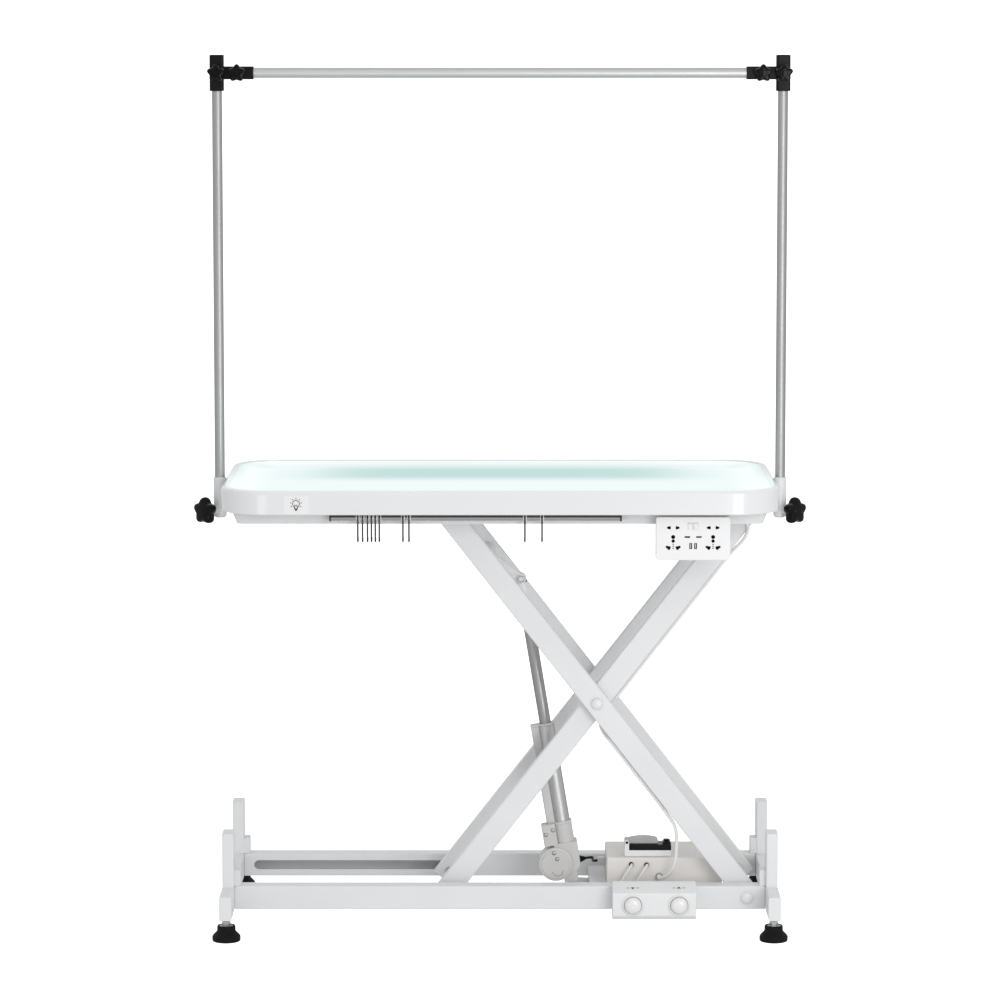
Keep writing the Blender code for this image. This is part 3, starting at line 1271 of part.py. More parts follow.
def make_power_cables(base, arm_a, arm_b):
    """The power cable from the control box up both arms to the table, in its three flexing stretches."""
    front = BOX_FRONT - GLAND_LENGTH - GAP
    x, z = POWER_GLAND
    lower = [
        (x, front, z),
        (x, front - 3 * POWER_RADIUS, z),
        (x + CABLE_LOOP_REACH * 0.38, (front + CABLE_LANE) / 2 - 2 * POWER_RADIUS, z + CABLE_LOOP_RISE * 0.1),
        (x + CABLE_LOOP_REACH * 0.81, CABLE_LANE, z + CABLE_LOOP_RISE * 0.43),
        (x + CABLE_LOOP_REACH, CABLE_LANE, z + CABLE_LOOP_RISE),
    ]
    for share, drop in ((0.466, 1.22), (0.554, 1.04), (0.66, 1.0), (0.79, 1.0), (0.91, 1.0)):
        lower.append(flat(on_arm_a(CABLE_CLIP_A * share, CABLE_UNDER * drop), CABLE_LANE))
    clip_a = flat(on_arm_a(CABLE_CLIP_A, CABLE_UNDER), CABLE_LANE)
    lower.append(clip_a)
    make_cable("power_cable_lower", lower, POWER_RADIUS, "cable_white", base)
    up = flat(arm_a_axes(LIFT_ANGLE)[0])
    middle = [
        clip_a + up * GAP,
        flat(on_arm_a(CABLE_CLIP_A + CLIP_BELOW_CENTRE * 0.13, CABLE_UNDER), CABLE_LANE),
        flat(on_arm_a(CABLE_CLIP_A + CLIP_BELOW_CENTRE * 0.48, CABLE_UNDER * 1.45), (CABLE_LANE + CABLE_LANE_B) / 2),
        flat(on_arm_b(ARM_LENGTH / 2 - CLIP_ABOVE_CENTRE * 0.4, CABLE_UNDER * 1.15), CABLE_LANE_B),
        flat(on_arm_b(ARM_LENGTH / 2 + CLIP_ABOVE_CENTRE * 0.35, CABLE_UNDER), CABLE_LANE_B),
        flat(on_arm_b(ARM_LENGTH / 2 + CLIP_ABOVE_CENTRE * 0.65, CABLE_UNDER), CABLE_LANE_B),
        flat(on_arm_b(CABLE_CLIP_B, CABLE_UNDER), CABLE_LANE_B),
    ]
    make_cable("power_cable_middle", middle, POWER_RADIUS, "cable_white", arm_a)
    upper = [flat(on_arm_b(CABLE_CLIP_B + GAP, CABLE_UNDER), CABLE_LANE_B)]
    last = ARM_LENGTH - 2 * ARM_WIDTH
    for share in (0.2, 0.4, 0.6, 0.8, 1.0):
        along = CABLE_CLIP_B + (last - CABLE_CLIP_B) * share
        upper.append(flat(on_arm_b(along, CABLE_UNDER), CABLE_LANE_B))
    clear_lane = -(ARM_B_OUT + POWER_RADIUS + RAIL_WALL)
    entry = FIXED_PIVOT_X - CABLE_ENTRY
    upper.append(flat(on_arm_b(ARM_LENGTH - ARM_WIDTH, CABLE_UNDER * 1.05), clear_lane * 0.8 + CABLE_LANE_B * 0.2))
    upper.append(flat(on_arm_b(ARM_LENGTH - ARM_WIDTH * 0.45, CABLE_UNDER * 0.6), clear_lane))
    upper.append((entry + CABLE_ENTRY / 15, clear_lane, TOP_PIVOT_Z - CABLE_ENTRY / 3))
    upper.append((entry, clear_lane, DECK_UNDER - CABLE_ENTRY / 2))
    upper.append((entry, clear_lane, DECK_UNDER - GAP))
    make_cable("power_cable_upper", upper, POWER_RADIUS, "cable_white", arm_b)


def make_pedal_cable(name, gland, body):
    """A cable from the control box down to the tray and through the front rail to the pedal box."""
    x, z = gland
    out = BOX_FRONT - GLAND_LENGTH - GAP
    end = pedal_cable_x(x)
    stops = [
        (x, out, z),
        (x, out - 2.5 * SIGNAL_RADIUS, z),
        (x + PEDAL_CABLE_SHIFT * 0.38, out - 5 * SIGNAL_RADIUS, z + PEDAL_CABLE_SHIFT * 0.56),
        (end - PEDAL_CABLE_SHIFT * 0.19, out - 5.5 * SIGNAL_RADIUS, z + PEDAL_CABLE_SHIFT * 1.4),
        (end, out - 8 * SIGNAL_RADIUS, CABLE_CROSSING_Z + 2 * SIGNAL_RADIUS),
        (end, -ARM_A_OUT, CABLE_CROSSING_Z),
        (end, -RAIL_INNER - RAIL_WALL, CABLE_CROSSING_Z),
        (end, -RAIL_OUTER, CABLE_CROSSING_Z),
        (end, PEDAL_BACK - BUTTON_SEAT + GAP, CABLE_CROSSING_Z),
    ]
    make_cable(name, stops, SIGNAL_RADIUS, "cable_white", body)


def make_motor_cable(body):
    """The motor's lead, in a slack bend from the housing's side round to the control box."""
    start = flat(on_actuator(GEAR_ALONG + GAP, -HOUSING_HALF_WIDTH - GAP), -GEAR_BACK / 2)
    lane = (start.x + BOX_LEFT) / 2
    end_y = BOX_DEPTH * 0.40
    end_z = BOX_BOTTOM + BOX_HEIGHT * 0.56
    stops = [
        start,
        start - flat(ACTUATOR_SIDE) * MOTOR_CABLE_RADIUS * 3,
        (lane - MOTOR_CABLE_RADIUS, start.y + MOTOR_CABLE_RADIUS * 5.7, start.z + GAP),
        (lane, end_y * 0.50, (start.z + end_z) / 2),
        (lane + MOTOR_CABLE_RADIUS, end_y * 0.80, end_z + MOTOR_CABLE_RADIUS / 2),
        (BOX_LEFT - MOTOR_CABLE_RADIUS * 4, end_y, end_z),
        (BOX_LEFT - GAP, end_y, end_z),
    ]
    make_cable("motor_cable", stops, MOTOR_CABLE_RADIUS, "cable_black", body)


# Assembly
def build_base():
    base = add_body("base", (0, 0, 0))
    for side in (-1, 1):
        make_end_frame(side, base)
        make_base_rail(side, base)
    make_actuator_beam(base)
    make_control_box(base)
    make_breaker(base)
    make_pedal_box(base)
    lid = add_body("breaker_lid_hinge", flat(breaker_hinge(), sum(BREAKER_Y) / 2))
    make_breaker_lid(lid)
    for name, x in zip(("pedal_button_down", "pedal_button_up"), BUTTON_X):
        make_button(name, x, add_body(name + "_slide", (x, PEDAL_FRONT, BUTTON_Z)))
    foot_x = END_X + BEAM_WIDTH / 2
    foot_y = BEAM_LENGTH / 2 - FOOT_INSET
    for across, row in ((-1, "front"), (1, "rear")):
        for side, end in ((-1, "left"), (1, "right")):
            name = f"foot_{row}_{end}"
            place = (side * foot_x, across * foot_y, 0)
            make_foot(name, *place[:2], add_body(name + "_screw", place))
    for name, gland in zip(("pedal_cable_left", "pedal_cable_right"), PEDAL_GLANDS):
        make_pedal_cable(name, gland, base)
    make_motor_cable(base)
    return base


def build_lift(base):
    arm_a = add_body("arm_a", flat(on_arm_a(0, 0)))
    arm_b = add_body("arm_b", flat(on_arm_a(ARM_LENGTH / 2, 0)))
    base_rollers = add_body("base_rollers", flat(on_arm_b(0, 0)))
    top_rollers = add_body("top_rollers", flat(on_arm_a(ARM_LENGTH, 0)))
    base_roller = RAIL_HEIGHT / 2 - RAIL_WALL - RUNNING_GAP
    for side, row in ((-1, "front"), (1, "rear")):
        make_arm_a(side, arm_a)
        make_arm_b(side, arm_b)
        make_roller(f"base_roller_{row}", on_arm_b(0, 0), side, base_roller, base_rollers)
        top = on_arm_a(ARM_LENGTH, 0)
        make_roller(f"top_roller_{row}", top, side, TRACK_ROLLER_RADIUS, top_rollers)
    make_arm_a_cross(arm_a)
    make_base_axle(arm_b)
    make_power_cables(base, arm_a, arm_b)


def build_actuator():
    actuator = add_body("actuator", flat(ACTUATOR_PIVOT))
    make_actuator_tube(actuator)
    make_gear_housing(actuator)
    make_motor(actuator)
    make_rod(add_body("actuator_rod", flat(HEAD)))


def build_table():
    table = add_body("table", (FIXED_PIVOT_X, 0, TOP_PIVOT_Z))
    make_table_rim(table)
    make_light_panel(table)
    make_led_strip(table)
    make_under_pan(table)
    for side in (-1, 1):
        make_top_track(side, table)
        make_clamp(side, table)
    make_hook_rail(table)
    make_socket_box(table)
    for name, x in zip(("rocker_left", "rocker_right"), rocker_places()):
        make_rocker(name, x, add_body(name + "_pivot", (x, SOCKET_FRONT, ROCKER_Z)))
    for name, x in zip(("hook_left", "hook_right"), HOOK_X):
        make_hook(name, x, add_body(name + "_slide", (x, HOOK_RAIL_Y, HOOK_RAIL_Z)))


def build_overhead():
    poles = add_body("poles", (0, 0, CLAMP_BOTTOM))
    bar = add_body("overhead_bar", (0, 0, BAR_Z))
    make_cross_bar(bar)
    for side, end in ((-1, "left"), (1, "right")):
        make_pole(side, poles)
        make_corner(side, bar)
        place = (side * POLE_X, 0.0, CLAMP_KNOB_Z)
        make_knob(
            f"clamp_knob_{end}",
            place,
            clamp_knob_direction(side),
            CLAMP_RADIUS + BOSS_LENGTH,
            CLAMP_KNOB_RADIUS,
            CLAMP_KNOB_THICKNESS,
            add_body(f"clamp_knob_{end}_screw", place),
        )
        for (x, half), kind in zip(corner_knobs(side), ("pole", "bar")):
            name = f"{kind}_knob_{end}"
            spot = (x, 0.0, BAR_Z)
            screw = add_body(name + "_screw", spot)
            make_knob(name, spot, (0, -1, 0), half + BOSS_LENGTH, KNOB_RADIUS, KNOB_THICKNESS, screw)


def main():
    clear_scene()
    build_lift(build_base())
    build_actuator()
    build_table()
    build_overhead()


main()
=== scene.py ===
# %% [markdown]
# # A grooming table with a lit top
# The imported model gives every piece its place, in metres, with X along the table, -Y towards the groomer
# and Z up. The script keeps that frame as it is, dresses the plain steelwork, and stands finer surfaces in
# for the pieces that carry the looks: the glowing top, the knobs, the outlets, the drive and the cables.

# %% Load the frame
import math

import bmesh
import bpy
import numpy as np
from mathutils.geometry import convex_hull_2d
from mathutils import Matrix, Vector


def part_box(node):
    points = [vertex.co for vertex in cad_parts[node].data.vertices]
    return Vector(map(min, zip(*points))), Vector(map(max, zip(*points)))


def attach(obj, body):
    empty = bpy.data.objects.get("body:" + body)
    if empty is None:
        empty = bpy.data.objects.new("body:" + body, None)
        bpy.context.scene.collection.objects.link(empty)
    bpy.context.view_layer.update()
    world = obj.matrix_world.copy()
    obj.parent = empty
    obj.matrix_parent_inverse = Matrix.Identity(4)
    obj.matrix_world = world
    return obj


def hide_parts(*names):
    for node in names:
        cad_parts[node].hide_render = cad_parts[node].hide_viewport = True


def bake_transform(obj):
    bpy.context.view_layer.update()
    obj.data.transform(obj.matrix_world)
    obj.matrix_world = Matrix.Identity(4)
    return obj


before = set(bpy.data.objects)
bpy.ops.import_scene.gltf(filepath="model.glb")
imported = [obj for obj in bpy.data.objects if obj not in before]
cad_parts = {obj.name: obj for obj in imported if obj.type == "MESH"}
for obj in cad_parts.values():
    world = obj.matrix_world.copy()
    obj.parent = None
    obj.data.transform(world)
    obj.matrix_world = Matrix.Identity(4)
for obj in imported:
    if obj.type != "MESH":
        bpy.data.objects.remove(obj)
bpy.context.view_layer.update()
scene = bpy.context.scene

# %% [markdown]
# The photograph was taken from the front with a long lens, a little above the table top, so that the lit
# panel is a thin bright ellipse. A camera could be placed by eye, but a long lens makes small errors large.
# This one was fitted to the corners of the table and the floor frame, so its place and lens are simply
# written down.

# %% Camera
CAMERA_PLACE = (0.0, -9.66, 2.112)
CAMERA_TILT = math.radians(83.18)
CAMERA_LENS = 154.0

camera_data = bpy.data.cameras.new("camera")
camera_data.lens = CAMERA_LENS
camera_data.sensor_width = 36.0
camera = bpy.data.objects.new("camera", camera_data)
camera.location = CAMERA_PLACE
camera.rotation_euler = (CAMERA_TILT, 0.0, 0.0)
scene.collection.objects.link(camera)
scene.camera = camera
scene.view_settings.view_transform = "Standard"
print("camera at", CAMERA_PLACE, "with a", CAMERA_LENS, "mm lens")

# %% [markdown]
# Every finish on the table is a coated, moulded or brushed surface, and each of these has its own small
# pattern. The pattern could be drawn in each material, but then a change would have to be made many times.
# Two shader groups hold them instead: a fine grain for paint and plastic, and drawn-out lines for metal. A
# group puts out a colour, a roughness and a height, and each material gives it its own values.

# %% Groups for grain and brushed lines
COLOUR, NUMBER, VECTOR = "NodeSocketColor", "NodeSocketFloat", "NodeSocketVector"
MIX_INPUTS, MIX_RESULT = (0, 6, 7), 2
NOISE_LOW, NOISE_HIGH = 0.3, 0.7


def new_group(name, inputs, outputs):
    """An empty shader group with named sockets, and its two end nodes."""
    group = bpy.data.node_groups.new(name, "ShaderNodeTree")
    for label, kind in inputs:
        group.interface.new_socket(name=label, in_out="INPUT", socket_type=kind)
    for label, kind in outputs:
        group.interface.new_socket(name=label, in_out="OUTPUT", socket_type=kind)
    return group, group.nodes.new("NodeGroupInput"), group.nodes.new("NodeGroupOutput")


def feed(tree, given, socket):
    """Sets a socket to a number, or links another socket to it."""
    if isinstance(given, float):
        socket.default_value = given
    else:
        tree.links.new(given, socket)


def mix_colours(group, factor, first, second):
    """A colour between two others; returns the socket that carries it."""
    node = group.nodes.new("ShaderNodeMix")
    node.data_type = "RGBA"
    for number, source in zip(MIX_INPUTS, (factor, first, second)):
        group.links.new(source, node.inputs[number])
    return node.outputs[MIX_RESULT]


def spread(group, value, low, high, out_low, out_high):
    """A value stretched from one range to another, with both ends held."""
    node = group.nodes.new("ShaderNodeMapRange")
    group.links.new(value, node.inputs["Value"])
    for label, given in (("From Min", low), ("From Max", high), ("To Min", out_low), ("To Max", out_high)):
        feed(group, given, node.inputs[label])
    return node.outputs["Result"]


def noise(group, vector, scale, detail):
    """A cloud of soft values; scale is a number or a socket."""
    node = group.nodes.new("ShaderNodeTexNoise")
    node.inputs["Detail"].default_value = detail
    group.links.new(vector, node.inputs["Vector"])
    feed(group, scale, node.inputs["Scale"])
    return node.outputs["Fac"]


SURFACE_OUTPUTS = (("Color", COLOUR), ("Roughness", NUMBER), ("Height", NUMBER))
FINISH_INPUTS = (("Light", COLOUR), ("Dark", COLOUR), ("Smooth", NUMBER), ("Rough", NUMBER))


def lead_out(group, given, made, slow, fine):
    """Slow noise picks from two tones, fine noise from two roughnesses. Fine noise is the height too."""
    share = spread(group, slow, NOISE_LOW, NOISE_HIGH, 0.0, 1.0)
    tone = mix_colours(group, share, given.outputs["Light"], given.outputs["Dark"])
    rough = spread(group, fine, NOISE_LOW, NOISE_HIGH, given.outputs["Smooth"], given.outputs["Rough"])
    for label, value in (("Color", tone), ("Roughness", rough), ("Height", fine)):
        group.links.new(value, made.inputs[label])
    return group


def make_grain_group():
    """Grain: slow clouds of tone, and a fine noise for roughness and height."""
    inputs = (("Vector", VECTOR), ("Grain", NUMBER), ("Clouds", NUMBER), *FINISH_INPUTS)
    group, given, made = new_group("moulded grain", inputs, SURFACE_OUTPUTS)
    clouds = noise(group, given.outputs["Vector"], given.outputs["Clouds"], 3.0)
    fine = noise(group, given.outputs["Vector"], given.outputs["Grain"], 2.0)
    return lead_out(group, given, made, clouds, fine)


def make_brushed_group():
    """Brushed lines: noise that is drawn out along one axis gives tone, roughness and height alike."""
    inputs = (("Vector", VECTOR), ("Stretch", VECTOR), *FINISH_INPUTS)
    group, given, made = new_group("brushed lines", inputs, SURFACE_OUTPUTS)
    mapping = group.nodes.new("ShaderNodeMapping")
    group.links.new(given.outputs["Vector"], mapping.inputs["Vector"])
    group.links.new(given.outputs["Stretch"], mapping.inputs["Scale"])
    lines = noise(group, mapping.outputs["Vector"], 1.0, 4.0)
    return lead_out(group, given, made, lines, lines)


grain_group = make_grain_group()
brushed_group = make_brushed_group()
print("groups:", grain_group.name, "/", brushed_group.name)

# %% [markdown]
# A finish joins one of the groups to a Principled shader. What is the same all over a surface, such as its
# metal or its clear coat, is set on the shader's own sockets. What changes over the surface comes from the
# group, and its height goes through a Bump node whose distance is the real depth of the grain.

# %% Finishes
finishes = {}


def new_material(name, settings):
    """A material with a Principled shader whose plain sockets are set."""
    material = bpy.data.materials.new(name)
    material.use_nodes = True
    shader = material.node_tree.nodes["Principled BSDF"]
    for label, value in settings.items():
        shader.inputs[label].default_value = value
    place = material.node_tree.nodes.new("ShaderNodeTexCoord").outputs["Object"]
    finishes[name] = material
    return material.node_tree, shader, place


def add_finish(name, group, depth, settings, values):
    """A material whose colour, roughness and height come from a group; depth is how high its bumps stand."""
    tree, shader, place = new_material(name, settings)
    surface = tree.nodes.new("ShaderNodeGroup")
    surface.node_tree = group
    tree.links.new(place, surface.inputs["Vector"])
    for label, value in values.items():
        surface.inputs[label].default_value = value
    bump = tree.nodes.new("ShaderNodeBump")
    bump.inputs["Strength"].default_value = 1.0
    bump.inputs["Distance"].default_value = depth
    tree.links.new(surface.outputs["Color"], shader.inputs["Base Color"])
    tree.links.new(surface.outputs["Roughness"], shader.inputs["Roughness"])
    tree.links.new(surface.outputs["Height"], bump.inputs["Height"])
    tree.links.new(bump.outputs["Normal"], shader.inputs["Normal"])


def grey(value, warm=0.0):
    """A grey that leans warm, or cool where warm is below nought."""
    return (value * (1 + warm), value, value * (1 - warm), 1.0)


def grained(name, light, dark, smooth, rough, grain, clouds, depth, **settings):
    """Two tones, two roughnesses, then grains and clouds to the metre and the grain's depth in metres."""
    values = {"Light": light, "Dark": dark, "Smooth": smooth, "Rough": rough}
    values |= {"Grain": grain, "Clouds": clouds}
    add_finish(name, grain_group, depth, settings, values)


def brushed(name, light, dark, smooth, rough, stretch, depth, **settings):
    """Two tones, two roughnesses, then lines to the metre along X, Y and Z and their depth in metres."""
    values = {"Light": light, "Dark": dark, "Smooth": smooth, "Rough": rough, "Stretch": stretch}
    add_finish(name, brushed_group, depth, settings, values)


COAT = {"Coat Weight": 0.25, "Coat Roughness": 0.12}
METAL = {"Metallic": 1.0}
DRAWN_METAL = {"Metallic": 1.0, "Specular Tint": (0.25, 0.25, 0.25, 1.0)}
DULL = {"Specular IOR Level": 0.14}
grained("white paint", grey(0.750, -0.010), grey(0.715, -0.012), 0.34, 0.46, 900.0, 5.0, 0.00006, **COAT)
grained("rim gloss", grey(0.750, -0.008), grey(0.730, -0.010), 0.14, 0.22, 420.0, 3.0, 0.00003, **COAT)
grained("white plastic", grey(0.770, -0.006), grey(0.745, -0.008), 0.26, 0.36, 2600.0, 12.0, 0.00003)
grained("outlet white", grey(0.800, 0.002), grey(0.785, 0.002), 0.22, 0.30, 2600.0, 12.0, 0.00002)
grained("button white", grey(0.77, 0.0), grey(0.75, 0.0), 0.08, 0.14, 1500.0, 20.0, 0.00001, **COAT)
grained("box beige", grey(0.735, 0.034), grey(0.700, 0.036), 0.42, 0.55, 1600.0, 9.0, 0.00005)
grained("lid grey", grey(0.42, 0.004), grey(0.37, 0.004), 0.32, 0.42, 2400.0, 25.0, 0.00004)
grained("drive grey", grey(0.59, 0.012), grey(0.55, 0.012), 0.38, 0.50, 2200.0, 14.0, 0.00005)
grained("black plastic", grey(0.007), grey(0.004), 0.22, 0.36, 2800.0, 22.0, 0.00005, **DULL)
grained("knob black", grey(0.004), grey(0.002), 0.06, 0.12, 2800.0, 22.0, 0.00002, **DULL)
grained("black rubber", grey(0.006), grey(0.004), 0.50, 0.70, 1800.0, 18.0, 0.00008, **DULL)
# Painted shade: near black for the insides of openings and bores, and the hinge's eye.
grained("painted hollow shade", grey(0.008), grey(0.004), 0.75, 0.9, 900.0, 40.0, 0.00002, **DULL)
grained("print grey", grey(0.05), grey(0.035), 0.5, 0.6, 4000.0, 60.0, 0.00001, **DULL)
# Painted shade: a dark grey for the strip over the hook rod and the rings round the cover's screws.
grained("painted shade grey", grey(0.10), grey(0.08), 0.34, 0.44, 1500.0, 30.0, 0.00002, **DULL)
grained("seat grey", grey(0.30), grey(0.26), 0.4, 0.5, 2600.0, 30.0, 0.00002)
grained("cable white", grey(0.78, 0.004), grey(0.73, 0.006), 0.36, 0.48, 3000.0, 16.0, 0.00003)
grained("cable black", grey(0.010), grey(0.006), 0.36, 0.48, 3000.0, 16.0, 0.00003, **DULL)
grained("film white", grey(0.785, 0.0), grey(0.775, 0.0), 0.20, 0.28, 2500.0, 30.0, 0.00001)
ALONG_X, ALONG_Z = (12.0, 1800.0, 1800.0), (1800.0, 1800.0, 12.0)
ALONG_DRIVE, EVEN_FINE, EVEN = (400.0, 400.0, 30.0), (700.0, 700.0, 700.0), (600.0, 600.0, 600.0)
brushed("pole aluminium", grey(0.45), grey(0.40), 0.42, 0.52, ALONG_Z, 0.00001, **DRAWN_METAL)
brushed("bar aluminium", grey(0.64), grey(0.57), 0.40, 0.50, ALONG_X, 0.00001, **DRAWN_METAL)
brushed(
    "drive aluminium", grey(0.58, 0.002), grey(0.51, 0.002), 0.38, 0.46, ALONG_DRIVE, 0.00001, **DRAWN_METAL
)
brushed("rod steel", grey(0.40, 0.004), grey(0.34, 0.004), 0.36, 0.42, ALONG_DRIVE, 0.000005, **DRAWN_METAL)
brushed("rail chrome", grey(0.46), grey(0.38), 0.08, 0.14, ALONG_X, 0.000005, **METAL)
brushed("hook chrome", grey(0.07), grey(0.04), 0.12, 0.22, EVEN, 0.00001, **METAL)
brushed("zinc", grey(0.56, 0.01), grey(0.44, 0.01), 0.30, 0.44, EVEN_FINE, 0.00003, **METAL)
print("finishes:", len(finishes))

# %% [markdown]
# Most new pieces are closed skins over a grid of points. A row of the grid is a cross-section, and the rows
# follow one another along the piece. Blender's own primitives would give fewer choices; with whole arrays,
# a rounded edge is only a few more rows. The helpers here join a grid's neighbours into faces, and put
# skins into one mesh.

# %% Skins from grids of points
SMOOTH_LIMIT = math.radians(32.0)


def skin(points, ring_rows=False):
    """Faces between neighbouring points of a grid. Columns always close into rings; rows do if asked, and
    otherwise the first and last row are filled as flat ends."""
    rows, columns = points.shape[:2]
    index = np.arange(rows * columns).reshape(rows, columns)
    index = np.hstack([index, index[:, :1]])
    if ring_rows:
        index = np.vstack([index, index[:1]])
    corners = (index[:-1, :-1], index[:-1, 1:], index[1:, 1:], index[1:, :-1])
    faces = np.stack(corners, axis=-1).reshape(-1, 4).tolist()
    if not ring_rows:
        faces.append(np.arange(columns)[::-1].tolist())
        faces.append(np.arange((rows - 1) * columns, rows * columns).tolist())
    return points.reshape(-1, 3), faces


def build_mesh(name, parts):
    """One mesh from several skins, each with its finish; faces are turned outward and shaded smooth."""
    mesh = bpy.data.meshes.new(name)
    used = list(dict.fromkeys(finish for finish, _ in parts))
    points, faces, marks, start = [], [], [], 0
    for finish, (place, joined) in parts:
        points.append(place)
        faces.extend((np.array(face) + start).tolist() for face in joined)
        marks.extend([used.index(finish)] * len(joined))
        start += len(place)
    mesh.from_pydata(np.concatenate(points).tolist(), [], faces)
    for finish in used:
        mesh.materials.append(finishes[finish])
    mesh.polygons.foreach_set("material_index", marks)
    work = bmesh.new()
    work.from_mesh(mesh)
    bmesh.ops.recalc_face_normals(work, faces=work.faces)
    work.to_mesh(mesh)
    work.free()
    shade(mesh)
    return mesh


def shade(mesh):
    """Smooth shading, with edges over the limit kept crisp."""
    mesh.polygons.foreach_set("use_smooth", np.ones(len(mesh.polygons), bool))
    mesh.set_sharp_from_angle(angle=SMOOTH_LIMIT)


def add_object(name, mesh):
    """A mesh as an object in the scene."""
    piece = bpy.data.objects.new(name, mesh)
    scene.collection.objects.link(piece)
    return piece


def add_bevel(piece, width, segments=3):
    """Rounds the sharp edges of a piece."""
    bevel = piece.modifiers.new("edge", "BEVEL")
    bevel.width = width
    bevel.segments = segments
    bevel.limit_method = "ANGLE"
    bevel.angle_limit = SMOOTH_LIMIT
    bevel.harden_normals = True


def settle(piece, body, slot, *nodes):
    """Says which body a piece rides on, and the nodes it stands for; slot is not used. Normals are weighted
    by area, so that flat faces stay flat beside their rounded edges."""
    piece.modifiers.new("even shading", "WEIGHTED_NORMAL").keep_sharp = True
    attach(piece, body)
    if nodes:
        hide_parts(*nodes)


def add_piece(name, parts, body, slot, *nodes, bevel=0.0):
    """A finished piece from (finish, skin) pairs."""
    piece = add_object(name, build_mesh(name, parts))
    if bevel:
        add_bevel(piece, bevel)
    settle(piece, body, slot, *nodes)


def span(node):
    """Lowest and highest corner of a node."""
    low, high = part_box(node)
    return np.array(low), np.array(high)


print("helpers ready")

# %% [markdown]
# Three kinds of skin make almost everything: a turned one, whose radius depends on its height along an
# axis; a block, whose rounded outline is stacked along an axis and shrinks on a quarter circle at each end;
# and a tube, a ring that is carried along a path.

# %% Turned skins, blocks and tubes
AXES = {"X": (1, 2, 0), "Y": (0, 2, 1), "Z": (0, 1, 2)}


def unit(vector):
    """The same direction with a length of one."""
    vector = np.array(vector, float)
    return vector / np.linalg.norm(vector)


def turned(profile, place, axis, count=48, ring_rows=False):
    """Point = place + axis times height + radius times (cosine across + sine the other way)."""
    axis = unit(axis)
    across = unit(np.cross(axis, (0.31, 0.87, 0.41)))
    turn = np.linspace(0.0, 2 * np.pi, count, endpoint=False)[:, None]
    ring = np.cos(turn) * across + np.sin(turn) * np.cross(axis, across)
    radius, height = np.array(profile, float).T
    points = np.array(place) + height[:, None, None] * axis + radius[:, None, None] * ring
    return skin(points, ring_rows)


def sleeve(inner, outer, low, high, place, axis, edge=0.0006, count=48):
    """A tube with a bore and small chamfers: its wall's outline is turned and closed."""
    wall = (
        (inner, low),
        (outer - edge, low),
        (outer, low + edge),
        (outer, high - edge),
        (outer - edge, high),
        (inner, high),
    )
    return turned(wall, place, axis, count, True)


def rounded_loop(width, height, corner, steps=8):
    """A rounded rectangle: a quarter circle at each corner, whose middle is drawn in by the radius."""
    turn = np.linspace(0.0, np.pi / 2, steps + 1)
    turn = np.concatenate([turn + k * np.pi / 2 for k in range(4)])
    across = np.repeat([1, -1, -1, 1], steps + 1) * (width / 2 - corner) + corner * np.cos(turn)
    up = np.repeat([1, 1, -1, -1], steps + 1) * (height / 2 - corner) + corner * np.sin(turn)
    return np.stack([across, up], axis=-1)


def stand(outline, axis, level):
    """Puts a flat outline at one level of an axis."""
    first, second, third = AXES[axis]
    points = np.empty((len(outline), 3))
    points[:, first], points[:, second], points[:, third] = outline[:, 0], outline[:, 1], level
    return points


def block(low, high, corner, edge, axis="Z", steps=6):
    """Rounded rectangles stacked on an axis; near an end the inset is edge times (1 - sine of the turn)."""
    low, high = np.array(low, float), np.array(high, float)
    first, second, third = AXES[axis]
    size, middle = high - low, (low + high) / 2
    turn = np.linspace(0.0, np.pi / 2, 4)
    inset = edge * (1 - np.sin(turn))
    depth = edge * (1 - np.cos(turn))
    insets = np.concatenate([inset, inset[::-1]])
    levels = np.concatenate([low[third] + depth, high[third] - depth[::-1]])
    rows = []
    for draw_in, level in zip(insets, levels):
        radius = max(corner - draw_in, corner * 0.2)
        loop = rounded_loop(size[first] - 2 * draw_in, size[second] - 2 * draw_in, radius, steps)
        rows.append(stand(loop + (middle[first], middle[second]), axis, level))
    return skin(np.array(rows))


def prism(outline, axis, low, high):
    """A flat outline carried straight along an axis."""
    outline = np.array(outline, float)
    return skin(np.stack([stand(outline, axis, low), stand(outline, axis, high)]))


def circle(radius, middle, count=40, start=0.0, turn=2 * np.pi):
    """Points round a circle, or round a part of one."""
    angle = start + turn * np.arange(count) / count
    return np.array(middle) + radius * np.stack([np.cos(angle), np.sin(angle)], axis=-1)


def hull(*outlines):
    """The outline that a band drawn round several outlines would take."""
    points = np.concatenate(outlines)
    return points[convex_hull_2d(points.tolist())]


def tube(path, radius, guide, sides=16):
    """A ring square to the path at each of its points; a guide vector keeps it from twisting."""
    ahead = np.gradient(path, axis=0)
    ahead /= np.linalg.norm(ahead, axis=1, keepdims=True)
    across = np.array(guide) - (ahead @ np.array(guide))[:, None] * ahead
    across /= np.linalg.norm(across, axis=1, keepdims=True)
    turn = np.linspace(0.0, 2 * np.pi, sides, endpoint=False)[None, :, None]
    ring = np.cos(turn) * across[:, None] + np.sin(turn) * np.cross(ahead, across)[:, None]
    return skin(path[:, None] + np.broadcast_to(radius, len(path))[:, None, None] * ring)


